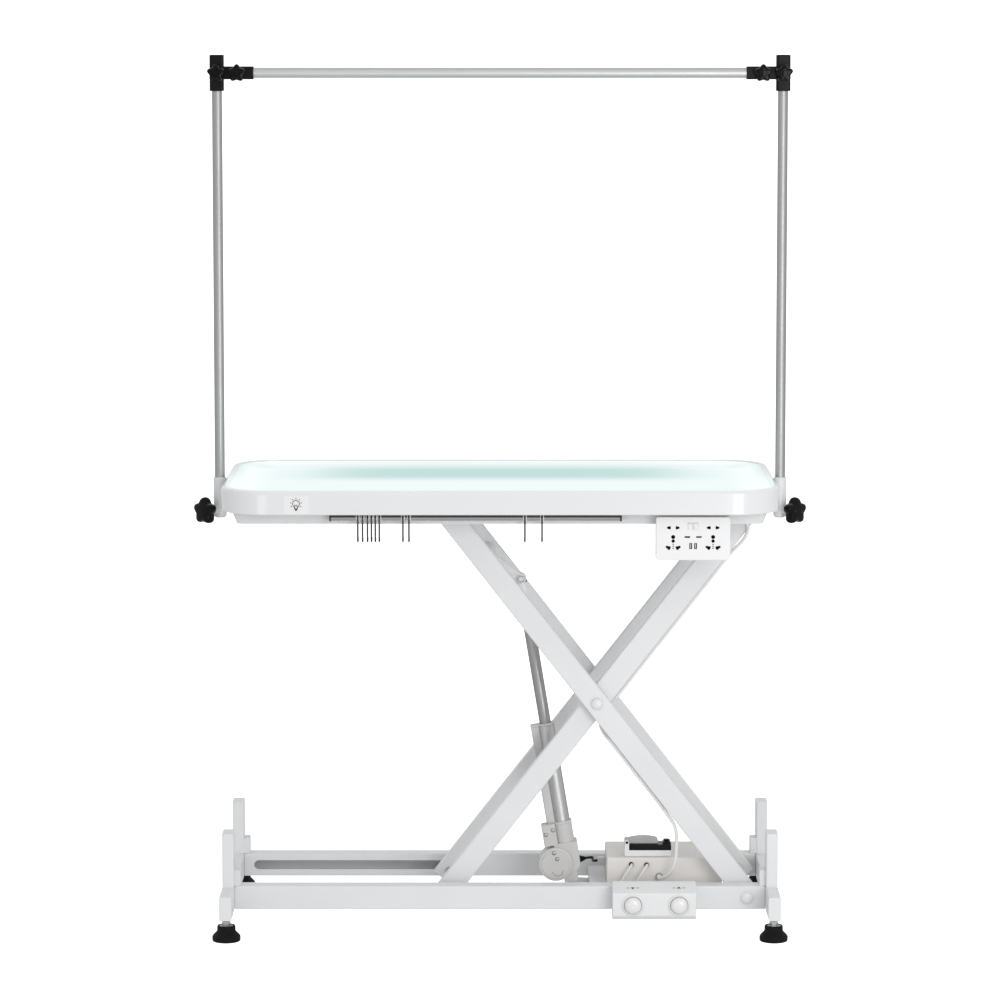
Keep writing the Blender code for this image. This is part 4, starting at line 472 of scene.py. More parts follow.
def smooth_route(stops, count):
    """An evenly spaced line through stops: between two of them a cubic whose slope at each stop is half the
    step between its neighbours."""
    stops = np.array(stops, float)
    padded = np.vstack([2 * stops[0] - stops[1], stops, 2 * stops[-1] - stops[-2]])
    before, start, end, after = (padded[k : len(padded) - 3 + k, None] for k in range(4))
    t = np.linspace(0.0, 1.0, 24, endpoint=False)[None, :, None]
    bend = 2 * before - 5 * start + 4 * end - after
    fine = 2 * start + (end - before) * t + bend * t**2 + (3 * start - before - 3 * end + after) * t**3
    fine = np.vstack([fine.reshape(-1, 3) / 2, stops[-1]])
    walked = np.concatenate([[0.0], np.cumsum(np.linalg.norm(np.diff(fine, axis=0), axis=1))])
    even = np.linspace(0.0, walked[-1], count)
    return np.stack([np.interp(even, walked, fine[:, k]) for k in range(3)], axis=-1)


print("a block has", len(block((0, 0, 0), (1, 1, 1), 0.1, 0.1)[1]), "faces")

# %% [markdown]
# The power cable climbs from the control box under the outer arm, crosses near the centre pin to the inner
# arm, and goes up into the table. It has to bend at three pivots. One long tube can follow only one joint,
# so it is made in three stretches. The route is a smooth curve through the stops of the solids, but its
# middle stretch keeps behind the outer arm, where it can't be seen.

# %% Places on the arms
LIFT_ANGLE = math.radians(52.05)
ARM_LENGTH = 1.0978
ARM_WIDTH = 0.051
ARM_A_FOOT = np.array((0.556, 0.0, 0.0795))
ARM_B_FOOT = np.array((ARM_A_FOOT[0] - ARM_LENGTH * math.cos(LIFT_ANGLE), 0.0, ARM_A_FOOT[2]))


def on_arm(foot, lean, along, above, y):
    """Foot + along times the arm's direction + above times the direction square to it, at a depth y."""
    up = np.array((lean * math.cos(LIFT_ANGLE), 0.0, math.sin(LIFT_ANGLE)))
    square = np.array((-lean * math.sin(LIFT_ANGLE), 0.0, math.cos(LIFT_ANGLE)))
    return foot + up * along + square * above + np.array((0.0, y, 0.0))


def on_arm_a(along, above, y):
    """A place on the outer arms."""
    return on_arm(ARM_A_FOOT, -1.0, along, above, y)


def on_arm_b(along, above, y):
    """A place on the inner arms."""
    return on_arm(ARM_B_FOOT, 1.0, along, above, y)


print("arms cross at", np.round(on_arm_a(ARM_LENGTH / 2, 0.0, 0.0), 4))

# %% Power cable
POWER_RADIUS = 0.0040
LANE_A, LANE_B = -0.1375, -0.1105
UNDER = -(ARM_WIDTH / 2 + POWER_RADIUS + 0.0003)
CLIP_A, CLIP_B = ARM_LENGTH / 2 - 0.094, ARM_LENGTH / 2 + 0.051
GLAND = np.array((0.362, -0.1023, 0.106))


def lower_stops():
    """Straight out of the gland, up in a bend, and under the outer arm to its clip."""
    x, y, z = GLAND
    stops = [GLAND, (x, y - 0.012, z), (x + 0.01406, (y + LANE_A) / 2 - 0.008, z + 0.0065)]
    stops += [(x + 0.02997, LANE_A, z + 0.02795), (x + 0.037, LANE_A, z + 0.065)]
    runs = ((0.466, 1.22), (0.554, 1.04), (0.66, 1.0), (0.79, 1.0), (0.91, 1.0), (1.0, 1.0))
    return stops + [on_arm_a(CLIP_A * share, UNDER * drop, LANE_A) for share, drop in runs]


def middle_stops():
    """From the outer arm's clip, behind that arm, to the clip under the inner arm."""
    half = ARM_LENGTH / 2
    stops = [on_arm_a(CLIP_A + 0.0003, UNDER, LANE_A), on_arm_a(CLIP_A + 0.009, UNDER, LANE_A + 0.0008)]
    stops.append(on_arm_a(CLIP_A + 0.030, UNDER * 1.02, LANE_A + 0.0150))
    stops.append(on_arm_b(half - 0.031, UNDER * 1.20, LANE_B - 0.0020))
    return stops + [on_arm_b(half + step, UNDER, LANE_B) for step in (0.008, 0.030, 0.051)]


def upper_stops():
    """Under the inner arm to its top, then up into the table."""
    last, lane = ARM_LENGTH - 2 * ARM_WIDTH, -0.130
    stops = [on_arm_b(CLIP_B + 0.0003, UNDER, LANE_B)]
    for share in (0.2, 0.4, 0.6, 0.8, 1.0):
        stops.append(on_arm_b(CLIP_B + (last - CLIP_B) * share, UNDER, LANE_B))
    stops.append(on_arm_b(ARM_LENGTH - ARM_WIDTH, UNDER * 1.05, lane * 0.8 + LANE_B * 0.2))
    stops.append(on_arm_b(ARM_LENGTH - ARM_WIDTH * 0.45, UNDER * 0.6, lane))
    return stops + [(0.528, lane, 0.93517), (0.526, lane, 0.95717), (0.526, lane, 0.97187)]


def add_cable(node, stops, radius, finish, guide, count):
    """A tube along the route through the stops, in place of a node; returns it with its path and length."""
    path = smooth_route(stops, count)
    piece = add_object(node + "_cable_skin", build_mesh(node, [(finish, tube(path, radius, guide))]))
    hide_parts(node)
    return piece, path, float(np.linalg.norm(np.diff(path, axis=0), axis=1).sum())


ARM_GUIDE = (0.8, 0.5, -0.3)
lower, lower_path, lower_length = add_cable(
    "power_cable_lower", lower_stops(), POWER_RADIUS, "cable white", ARM_GUIDE, 120
)
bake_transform(lower)
middle, middle_path, middle_length = add_cable(
    "power_cable_middle", middle_stops(), POWER_RADIUS, "cable white", (0.2, 1.0, 0.1), 60
)
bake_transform(middle)
upper, upper_path, upper_length = add_cable(
    "power_cable_upper", upper_stops(), POWER_RADIUS, "cable white", (-0.5, 1.0, 0.2), 100
)
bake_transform(upper)
print("power cable:", round(lower_length + middle_length + upper_length, 3), "m")

# %% [markdown]
# Three thinner leads stay inside the floor frame. Two run from the control box down through the front rail
# to the foot control and never move. The motor's black lead has to follow the drive as it swings, so it is
# slack, and it ends in a pale plug at the control box.

# %% Leads to the foot control
SIGNAL_RADIUS = 0.00275
SIGNAL_GLANDS = {"pedal_cable_left": (0.2986, 0.1338), "pedal_cable_right": (0.3333, 0.1329)}
CROSSING = 0.06505


def signal_stops(x, z):
    """Out of a gland, down in a bend, and straight through the front rail."""
    y, end = GLAND[1], x - 0.032
    stops = [(x, y, z), (x, y - 0.006875, z), (x - 0.01216, y - 0.01375, z - 0.01792)]
    stops += [(end + 0.00608, y - 0.015125, z - 0.0448), (end, y - 0.022, CROSSING + 0.0055)]
    return stops + [(end, depth, CROSSING) for depth in (-0.150, -0.163, -0.205, -0.211)]


for node, place in SIGNAL_GLANDS.items():
    lead, _, lead_length = add_cable(
        node, signal_stops(*place), SIGNAL_RADIUS, "cable white", (1.0, 0.2, -0.1), 80
    )
    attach(lead, "base")
    print(node, round(lead_length, 3), "m")

# %% Motor lead
DRIVE_FOOT = np.array((0.167, 0.0, 0.062))
DRIVE_UP = np.array((-0.163920, 0.0, 0.986474))
DRIVE_LEFT = np.array((-0.986474, 0.0, -0.163920))
MOTOR_LEAD_RADIUS = 0.003
BOX_LEFT = 0.2433


def on_drive(along, left, y):
    """A place on the drive: so far up from its lower pin, so far to its left, at a depth y."""
    return DRIVE_FOOT + DRIVE_UP * along + DRIVE_LEFT * left + np.array((0.0, y, 0.0))


def motor_stops():
    """Out of the housing's side, back in a slack bend, and into the control box's left side."""
    start = on_drive(0.0633, -0.0273, -0.012)
    lane, end_y, end_z = (start[0] + BOX_LEFT) / 2, 0.0768, 0.10812
    stops = [start, start - DRIVE_LEFT * 0.009, (lane - 0.003, start[1] + 0.0171, start[2] + 0.0003)]
    stops += [(lane, end_y * 0.5, (start[2] + end_z) / 2), (lane + 0.003, end_y * 0.8, end_z + 0.0015)]
    return stops + [(BOX_LEFT - 0.012, end_y, end_z), (BOX_LEFT - 0.0003, end_y, end_z)]


motor_lead, motor_path, motor_length = add_cable(
    "motor_cable", motor_stops(), MOTOR_LEAD_RADIUS, "cable black", (0.1, 0.1, 1.0), 80
)
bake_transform(motor_lead)
BOOT_ROWS = (
    (0.0078, -0.003),
    (0.0078, 0.003),
    (0.0058, 0.004),
    (0.0068, 0.006),
    (0.0050, 0.007),
    (0.0058, 0.009),
    (0.0042, 0.010),
    (0.0036, 0.013),
)
boot = turned(BOOT_ROWS, motor_path[0], -DRIVE_LEFT, 32)
add_piece("motor_lead_boot", [("black rubber", boot)], "actuator", "black_rubber")
PLUG_LOW, PLUG_HIGH = (0.018, 0.008, 0.0075), (-0.0002, 0.008, 0.0075)
plug = block(motor_path[-1] - PLUG_LOW, motor_path[-1] + PLUG_HIGH, 0.002, 0.001, "X")
add_piece("motor_lead_plug", [("white plastic", plug)], "base", "white_plastic")
print("motor lead:", round(motor_length, 3), "m")

# %% [markdown]
# The rim is one moulding that runs right round the table. A sweep with a curve and a bevel object would do,
# but the corner radius has to shrink as the profile goes inward. So each row of the grid is the table's
# rounded outline, drawn in by the profile's inset and raised to its height. The slope inside the lip is lit
# by the same strip of lamps as the panel, so that light is painted on it as glow: it shares the panel's
# milky finish. Two attributes hold the painted light: how far it washes over the lip, and how it falls off
# from the strip towards the middle. The materials turn them into a soft mint glow.

# %% Table rim
TABLE_LENGTH, TABLE_DEPTH, TABLE_CORNER = 1.24, 0.65, 0.11
rim_low, rim_high = span("table_rim")
RIM_BOTTOM, RIM_TOP = rim_low[2], rim_high[2]
PANEL_TOP = span("light_panel")[1][2]
LEDGE, DECK = PANEL_TOP - 0.0053, span("under_pan")[1][2] + 0.0003
LIP, SLOPE_END, RIM_INNER, WALL = 0.018, 0.062, 0.080, 0.004
LIP_STEP, RIM_EDGE, FLANGE = 0.003, 0.0015, 0.006
GLOW_FROM, GLOW_OVER = 0.4, 1.17


def table_loop(inset, z, steps=20, straight=40):
    """The table's outline drawn in by an inset, its corners' radius alike, at one height; even points are set
    along its four straight sides."""
    corner = max(TABLE_CORNER - inset, 0.006)
    loop = rounded_loop(TABLE_LENGTH - 2 * inset, TABLE_DEPTH - 2 * inset, corner, steps)
    bends = loop.reshape(4, steps + 1, 2)
    share = np.linspace(0.0, 1.0, straight + 2)[1:-1, None]
    sides = bends[:, -1:] * (1 - share) + np.roll(bends, -1, axis=0)[:, :1] * share
    return stand(np.concatenate([bends, sides], axis=1).reshape(-1, 2), "Z", z)


def rim_profile():
    """Inset, height, glow and finish of each row: a wall, a quarter circle over the lip, a small step, an
    eased slope, and the ledge."""
    turn = np.linspace(0.0, np.pi / 2, 9)
    round_over = LIP / 2
    lip_in, lip_up = round_over * (1 - np.cos(turn)), RIM_TOP - round_over * (1 - np.sin(turn))
    lip_glow = np.clip((turn - GLOW_FROM) / GLOW_OVER, 0.0, 1.0) ** 1.5
    lip = np.stack([lip_in, lip_up, lip_glow, turn * 0.0], axis=-1)
    share = np.linspace(0.0, 1.0, 13)
    ease = share * share * (3 - 2 * share)
    slope_top = RIM_TOP - LIP_STEP
    slope_in = LIP + (SLOPE_END - LIP) * share
    slope_up = slope_top - (slope_top - PANEL_TOP) * ease
    slope = np.stack([slope_in, slope_up, share * 0.0 + 1.0, share * 0.0 + 1.0], axis=-1)
    step = np.array(((LIP - 0.0009, RIM_TOP, 1.0, 0.0), (LIP - 0.0004, RIM_TOP, 0.0, 0.0)))
    outside = ((WALL, RIM_BOTTOM, 0, 0), (RIM_EDGE, RIM_BOTTOM, 0, 0), (0, RIM_BOTTOM + RIM_EDGE, 0, 0))
    inside = (
        (SLOPE_END, LEDGE, 0, 0),
        (RIM_INNER, LEDGE, 0, 0),
        (RIM_INNER, DECK, 0, 0),
        (RIM_INNER - FLANGE, DECK, 0, 0),
        (RIM_INNER - FLANGE, LEDGE - WALL, 0, 0),
        (SLOPE_END - WALL, LEDGE - WALL, 0, 0),
        (LIP, RIM_TOP - 2 * WALL, 0, 0),
        (WALL, RIM_TOP - round_over - WALL, 0, 0),
    )
    return np.vstack([outside, lip, step, slope, inside])


print("rim profile rows:", len(rim_profile()))

# %% Light along the rim
LIT = 0.66
SHADE_ENDS, SHADE_FRONT, SHADE_BACK = (-0.410, 0.045), (0.037, 0.022), (-0.272, 0.0168)
# Painted light: the back and end slopes are lifted to full brightness.
BACK_SLOPE, END_SLOPE, END_SHARE = (0.272, 0.006), (0.545, 0.010), 0.5
# Painted shade: the far ends of the slopes are darkened again.
PAINTED_SHADE_X, PAINTED_SHADE_Y, PAINTED_SHADE_SHARE = (0.590, 0.006), (-0.02, 0.06), 0.4
WASH, WASH_LEAST = (-0.05, 0.05), 0.1


def soft_step(value, middle, width):
    """0 well below the middle and 1 well above it: 1 / (1 + e to the power of (middle - value) / width)."""
    return 1 / (1 + np.exp((middle - value) / width))


def edge_light(points):
    """0 in the middle, LIT near the lamps and 1 on the slopes at the back and the ends, where the light is
    painted on. The middle is a soft step in from the ends, one from the front and one from the back,
    multiplied; the slopes' painted light is the larger of two soft steps, and painted shade darkens the far
    ends again by another."""
    x, y = np.abs(points[..., 0]), points[..., 1]
    middle = soft_step(-x, *SHADE_ENDS) * soft_step(y, *SHADE_FRONT) * soft_step(-y, *SHADE_BACK)
    slopes = np.maximum(soft_step(y, *BACK_SLOPE), END_SHARE * soft_step(x, *END_SLOPE))
    painted_end_shade = PAINTED_SHADE_SHARE * soft_step(x, *PAINTED_SHADE_X) * soft_step(y, *PAINTED_SHADE_Y)
    return LIT * (1 - middle) + (1 - LIT) * slopes - painted_end_shade


def mark_points(mesh, name, values):
    """Keeps one number for each point of a mesh, for its material to read."""
    attribute = mesh.attributes.new(name, "FLOAT", "POINT")
    attribute.data.foreach_set("value", np.ravel(values).astype(np.float32))


def glow_finish(name, base, mark, dim, bright):
    """A copy of a finish that also gives off light, from a dim colour to a bright one by a mark on points."""
    material = finishes[base].copy()
    material.name = name
    finishes[name] = material
    tree = material.node_tree
    shader = tree.nodes["Principled BSDF"]
    reader = tree.nodes.new("ShaderNodeAttribute")
    reader.attribute_name = mark
    ramp = tree.nodes.new("ShaderNodeValToRGB")
    ramp.color_ramp.elements[0].color = dim
    ramp.color_ramp.elements[1].color = bright
    tree.links.new(reader.outputs["Fac"], ramp.inputs["Fac"])
    tree.links.new(ramp.outputs["Color"], shader.inputs["Emission Color"])
    shader.inputs["Emission Strength"].default_value = 1.0


SHEET_LIGHT, SHEET_DARK = (0.12, 0.17, 0.165, 1.0), (0.11, 0.155, 0.15, 1.0)
SHEET_DIM, SHEET_BRIGHT = (0.325, 0.485, 0.460, 1.0), (0.835, 0.835, 0.845, 1.0)
NO_GLOW, MINT_GLOW = (0.0, 0.0, 0.0, 1.0), (0.16, 0.255, 0.24, 1.0)
grained("panel sheet", SHEET_LIGHT, SHEET_DARK, 0.34, 0.42, 1200.0, 4.0, 0.00002, **DULL)
glow_finish("lit sheet", "panel sheet", "edge_light", SHEET_DIM, SHEET_BRIGHT)
# Painted light: the lip's mint glow stands for the strip's light falling on the white moulding.
glow_finish("rim with glow", "rim gloss", "glow", NO_GLOW, MINT_GLOW)
rows = rim_profile()
rim_grid = np.array([table_loop(inset, z) for inset, z, _, _ in rows])
columns = rim_grid.shape[1]
rim_mesh = build_mesh("table_rim_skin", [("rim with glow", skin(rim_grid, True))])
# Painted light: the slope rows take the panel's glowing sheet, standing for the strip's light falling on
# them.
rim_mesh.materials.append(finishes["lit sheet"])
rim_mesh.polygons.foreach_set("material_index", np.repeat(rows[:, 3], columns).astype(np.int32))
# Painted light: the lip's glow fades from the front towards the back.
wash = soft_step(-rim_grid[..., 1], *WASH) * (1 - WASH_LEAST) + WASH_LEAST
mark_points(rim_mesh, "glow", rows[:, 2:3] * wash)
mark_points(rim_mesh, "edge_light", edge_light(rim_grid))
settle(add_object("table_rim_skin", rim_mesh), "table", "rim_plastic", "table_rim")
print("rim rows", len(rows), "columns", columns)

# %% [markdown]
# The panel is a milky sheet lit from its edges, so it is palest near the rim and keeps its own cool green
# in the middle. A gradient texture could fake that, but the same soft steps as on the slope, worked out at
# each point of a grid, run on from one to the other without a seam. The panel gives off that colour as
# light.

# %% Lit panel
PANEL_INSET, PANEL_THICK = 0.0623, 0.005


def panel_sheet(rows=61, columns=91):
    """Rows across the sheet at Y = half the depth times a sine; each reaches as far as the rounded outline
    does there, and comes back underneath."""
    half_x, half_y = TABLE_LENGTH / 2 - PANEL_INSET, TABLE_DEPTH / 2 - PANEL_INSET
    corner = TABLE_CORNER - PANEL_INSET
    y = half_y * np.sin(np.linspace(-np.pi / 2, np.pi / 2, rows))
    into_corner = np.clip(np.abs(y) - (half_y - corner), 0.0, corner)
    reach = half_x - corner + np.sqrt(corner**2 - into_corner**2)
    across = np.concatenate([np.linspace(-1, 1, columns), np.linspace(1, -1, columns)])
    level = np.where(np.arange(2 * columns) < columns, PANEL_TOP, PANEL_TOP - PANEL_THICK)
    grid = (reach[:, None] * across, np.tile(y[:, None], (1, 2 * columns)), np.tile(level, (rows, 1)))
    return np.stack(grid, axis=-1)


panel_grid = panel_sheet()
panel_mesh = build_mesh("light_panel_skin", [("lit sheet", skin(panel_grid))])
mark_points(panel_mesh, "edge_light", edge_light(panel_grid))
settle(add_object("light_panel_skin", panel_mesh), "table", "lit_panel", "light_panel")
print("panel light from", round(float(edge_light(panel_grid).min()), 3), "to 1")

# %% [markdown]
# The lamp switch is a touch film on the front of the rim, with a small picture of a bulb. The picture could
# be a texture, but drawn lines keep their edges at any size. Each line is a thin tube sunk into the film: a
# bulb that is a circle running into a neck, two turns of its cap, a filament and seven rays.

# %% Touch film with a bulb
FILM_MIDDLE = np.array((-0.4484, 0.9838))
FILM_SIZE = np.array((0.056, 0.041))
FILM_FRONT, FILM_BACK = -TABLE_DEPTH / 2 - 0.0004, -TABLE_DEPTH / 2 + 0.0005
(film_left, film_bottom), (film_right, film_top) = FILM_MIDDLE - FILM_SIZE / 2, FILM_MIDDLE + FILM_SIZE / 2
film = block((film_left, FILM_FRONT, film_bottom), (film_right, FILM_BACK, film_top), 0.003, 0.0002, "Y")
LINE, BULB_SIZE = 0.0007, 0.92
GLOBE_RADIUS, GLOBE_UP = 0.0082, 0.0035
RAY_ENDS = 0.0112, 0.0146


def drawn_line(points):
    """A fine tube along a flat line of (x, z) points on the film; its half stands proud."""
    points = np.array(points, float) * BULB_SIZE + FILM_MIDDLE
    return tube(stand(points, "Y", FILM_FRONT), LINE, (0.0, 1.0, 0.0), 8)


def bulb_lines():
    """An arc of 284 degrees that a curve closes round a neck, then straight strokes and a ray every 40."""
    turn = np.linspace(np.radians(-52), np.radians(232), 40)
    globe = np.stack([GLOBE_RADIUS * np.cos(turn), GLOBE_UP + GLOBE_RADIUS * np.sin(turn)], axis=-1)
    neck = np.array(((-0.0036, -0.0062), (-0.0034, -0.0078)))
    outline = np.vstack([globe, neck, neck[::-1] * (-1, 1), globe[:1]])
    lines = [smooth_route(np.insert(outline, 1, 0.0, axis=1), 90)[:, [0, 2]]]
    for drop in (0.0096, 0.0112):
        lines.append(np.array(((-0.0030, -drop), (0.0030, -drop))))
    lines.append(np.array(((-0.0012, -0.0128), (0.0012, -0.0128))))
    filament = np.array(((-0.0026, -0.0055), (-0.0030, 0.0010), (-0.0010, -0.0006), (0.0010, 0.0010)))
    lines.append(np.vstack([filament, ((0.0026, -0.0002), (0.0026, -0.0055))]))
    for angle in np.radians(np.arange(-30, 211, 40)):
        way = np.array((np.cos(angle), np.sin(angle)))
        lines.append(np.array((0.0, GLOBE_UP)) + np.outer(RAY_ENDS, way))
    return lines


bulb = [("print grey", drawn_line(line)) for line in bulb_lines()]
add_piece("touch_film", [("film white", film), *bulb], "table", "white_plastic")
print("bulb lines:", len(bulb))

# %% [markdown]
# A chromed rod under the front edge holds wire hooks for leads and tools. The rod stands off the pan on
# three short posts, has a dark strip along its top, a painted reflection of the shaded rim above, and a
# bracket closes each end. Each hook is one bent wire that hangs on a small glide: it goes over the rod, down
# its front and up again in a curl. Two of them are solids that slide; the others hang beside them and slide
# along with their neighbours.

# %% Hook rail
rail_low, rail_high = span("hook_rail")
RAIL_RADIUS, RAIL_Y, RAIL_Z = 0.006, -0.284, rail_high[2] - 0.006
PAN_FRONT = -0.262
RAIL_ENDS = rail_low[0], rail_high[0]
POST_INSET, BRACKET_INSET = 0.012, 0.002
ROD_CHAMFER, ROD_END = 0.0012, 0.0046


def rail_rod(low, high):
    """A rod along X with a chamfer at each end."""
    rows = (
        (ROD_END, low),
        (RAIL_RADIUS, low + ROD_CHAMFER),
        (RAIL_RADIUS, high - ROD_CHAMFER),
        (ROD_END, high),
    )
    return turned(rows, (0.0, RAIL_Y, RAIL_Z), (1, 0, 0), 40)


def rail_post(x):
    """A foot on the pan that narrows to a stem, turned along Y up to the rod's middle."""
    foot = -PAN_FRONT + 0.0003
    profile = ((0.008, foot), (0.0078, foot + 0.0015), (0.0046, foot + 0.0023), (0.004, -RAIL_Y))
    return turned(profile, (x, 0.0, RAIL_Z), (0, -1, 0), 32)


def rail_bracket(x):
    """A small plate round the rod's end, from the pan to the rod's front."""
    low = (x - 0.0018, RAIL_Y - 0.0074, RAIL_Z - 0.0074)
    return block(low, (x + 0.0018, PAN_FRONT - 0.0003, RIM_BOTTOM - 0.0005), 0.0015, 0.0006, "X", 4)


def rail_shade_strip(low, high):
    """Painted reflection of the shaded rim: a dark strip over the rod, an arc out and an arc back, along X.
    """
    start, turn, middle = math.radians(6), math.radians(168), (RAIL_Y, RAIL_Z)
    outer = circle(RAIL_RADIUS + 0.0001, middle, 24, start, turn)
    inner = circle(RAIL_RADIUS - 0.0010, middle, 24, start + turn, -turn)
    return prism(np.vstack([outer, inner]), "X", low, high)


bracket_places = RAIL_ENDS[0] + BRACKET_INSET, RAIL_ENDS[1] - BRACKET_INSET
# Painted reflection: the dark strip over the rod stands for the shaded rim mirrored in it.
rail_parts = [("rail chrome", rail_rod(*RAIL_ENDS)), ("painted shade grey", rail_shade_strip(*bracket_places))]
for x in (RAIL_ENDS[0] + POST_INSET, sum(RAIL_ENDS) / 2, RAIL_ENDS[1] - POST_INSET):
    rail_parts.append(("zinc", rail_post(x)))
for x in bracket_places:
    rail_parts.append(("print grey", rail_bracket(x)))
add_piece("hook_rail_rod", rail_parts, "table", "steel", "hook_rail")
print("hook rail parts:", len(rail_parts))

# %% Wire hooks
HOOK_WIRE, HOOK_DROP, HOOK_CURL = 0.0020, 0.046, 0.006
HOOK_PLAY, GLIDE_WALL, GLIDE_HALF, GLIDE_EDGE = 0.0003, 0.0019, 0.0042, 0.0014
HOOKS = {
    "hook_left": (-0.314, -0.3035, -0.2925, -0.2838, -0.2752, -0.2664, -0.2143, -0.2010),
    "hook_right": (0.055, 0.0928),
}


def hook_wire(x):
    """A wire along an arc over the rod, straight down, and along a smaller arc back up."""
    reach = RAIL_RADIUS + HOOK_WIRE + HOOK_PLAY
    over = np.radians(np.linspace(-30, 180, 20))
    top = np.stack([RAIL_Y + reach * np.cos(over), RAIL_Z + reach * np.sin(over)], axis=-1)
    under = np.radians(np.linspace(180, 380, 20))
    middle = np.array((RAIL_Y - reach + HOOK_CURL, RAIL_Z - HOOK_DROP))
    curl = middle + HOOK_CURL * np.stack([np.cos(under), np.sin(under)], axis=-1)
    return tube(stand(np.vstack([top, curl]), "X", x), HOOK_WIRE, (1.0, 0.0, 0.0), 12)


def hook_glide(x):
    """A narrow ring that runs on the rod with play all round."""
    inner, low, high = RAIL_RADIUS + HOOK_PLAY, x - GLIDE_HALF, x + GLIDE_HALF
    return sleeve(inner, inner + GLIDE_WALL, low, high, (0.0, RAIL_Y, RAIL_Z), (1, 0, 0), GLIDE_EDGE, 32)


for node, places in HOOKS.items():
    for number, x in enumerate(places):
        stood_for = (node,) if number == 0 else ()
        parts = [("hook chrome", hook_wire(x)), ("outlet white", hook_glide(x))]
        add_piece(f"{node}_{number + 1}", parts, node, "steel", *stood_for)
print("hooks:", sum(len(places) for places in HOOKS.values()))

# %% [markdown]
# The outlet box is a moulded block with real openings: two outlets that take several kinds of plug, two
# flat and two upright charging slots, and a pocket for each rocker. A grid can't have holes, so the block
# is made as a grid and the openings are cut with a Boolean. Its cutters carry a dark finish, which the cut
# walls take over; in the openings this near black is painted shade.

# %% Cutting openings
def carve(piece, cutters):
    """Takes the cutters' skins out of a piece, and keeps the result as its mesh."""
    tool = add_object("cutter", build_mesh("cutter", cutters))
    cut = piece.modifiers.new("openings", "BOOLEAN")
    cut.object = tool
    cut.solver = "EXACT"
    cut.use_self = True
    cut.material_mode = "TRANSFER"
    result = bpy.data.meshes.new_from_object(piece.evaluated_get(bpy.context.evaluated_depsgraph_get()))
    piece.modifiers.remove(cut)
    piece.data = result
    bpy.data.objects.remove(tool)
    shade(result)


print("cutting helper ready")

# %% Outlet box
socket_low, socket_high = span("socket_box")
SOCKET_FRONT, SOCKET_MIDDLE = socket_low[1], (socket_low[0] + socket_high[0]) / 2
SOCKET_RISE, SOCKET_DROP = 0.0035, 0.0066
OUTLET_REACH, OUTLET_Z, PORT_REACH, PORT_Z = 0.044, 0.9312, 0.0053, 0.8905
ROUND_DROP, LOWER_DROP = 0.0206, 0.0440
OPENING, PROUD, POCKET_PLAY = 0.0068, 0.002, 0.0007


def wedge(x, z, way, length, thick, tilt=0.0):
    """A flat pin's opening that widens away from the outlet's middle, turned by a tilt."""
    side = np.array(((-0.5, 0.22), (-0.5, -0.22), (0.35, -0.5), (0.5, -0.3), (0.5, 0.3), (0.35, 0.5)))
    side = side * (length * way, thick)
    cosine, sine = math.cos(tilt), math.sin(tilt)
    return np.array((x, z)) + side @ np.array(((cosine, sine), (-sine, cosine)))


def outlet_openings():
    """Flat outlines: wedges, rounds and dots for each outlet, then flat and upright charging slots."""
    shapes = []
    for x in (SOCKET_MIDDLE - OUTLET_REACH, SOCKET_MIDDLE + OUTLET_REACH):
        for way in (-1, 1):
            shapes.append(wedge(x + way * 0.0096, OUTLET_Z, -way, 0.0085, 0.0078))
            shapes.append(wedge(x + way * 0.0112, OUTLET_Z - LOWER_DROP, -way, 0.0112, 0.0090, way * 0.42))
        shapes.append(circle(0.0045, (x, OUTLET_Z - ROUND_DROP), 24))
        shapes.append(circle(0.0038, (x, OUTLET_Z - 0.0296), 20))
        shapes += [circle(0.0015, (x, OUTLET_Z - drop), 12) for drop in (0.0368, 0.0412, 0.0456)]
    for way in (-1, 1):
        flat_place = (SOCKET_MIDDLE + way * 0.0128, OUTLET_Z - ROUND_DROP)
        shapes.append(rounded_loop(0.0125, 0.0036, 0.0012, 3) + flat_place)
        shapes.append(rounded_loop(0.0062, 0.0134, 0.0008, 3) + (SOCKET_MIDDLE + way * PORT_REACH, PORT_Z))
    return shapes


def into_front(outline):
    """A cutter from just before the box's front to the openings' depth."""
    return prism(outline, "Y", SOCKET_FRONT - PROUD, SOCKET_FRONT + OPENING)


socket_low[2] += SOCKET_RISE
socket_high[2] = RIM_BOTTOM - SOCKET_DROP
socket = add_object("socket_box_shell", build_mesh("socket_box_shell", [
    ("outlet white", block(socket_low, socket_high, 0.005, 0.0016, "Y")),
]))
# Painted shade: the openings' walls are near black.
openings = [("painted hollow shade", into_front(outline)) for outline in outlet_openings()]
for node in ("rocker_left", "rocker_right"):
    low, high = span(node)
    wide, _, tall = high - low + POCKET_PLAY
    pocket = rounded_loop(wide, tall, 0.0006, 3) + ((low + high) / 2)[[0, 2]]
    openings.append(("white plastic", into_front(pocket)))
carve(socket, openings)
settle(socket, "table", "white_plastic", "socket_box")
TONGUE_LOW, TONGUE_HIGH = np.array((-0.0007, 0.0006, -0.0052)), np.array((0.0007, 0.0067, 0.0052))
tongues = []
for way in (-1, 1):
    place = (SOCKET_MIDDLE + way * PORT_REACH, SOCKET_FRONT, PORT_Z)
    tongue = block(place + TONGUE_LOW, place + TONGUE_HIGH, 0.0004, 0.0002, "Y", 2)
    tongues.append(("white plastic", tongue))
add_piece("socket_tongues", tongues, "table", "white_plastic")
print("outlet box openings:", len(openings))

# %% [markdown]
# Two poles carry a bar across the table for the dog's lead. They are plain aluminium tubes, and their shine
# comes from fine lines drawn along their length. Each is a tube's wall, turned round the pole's axis.

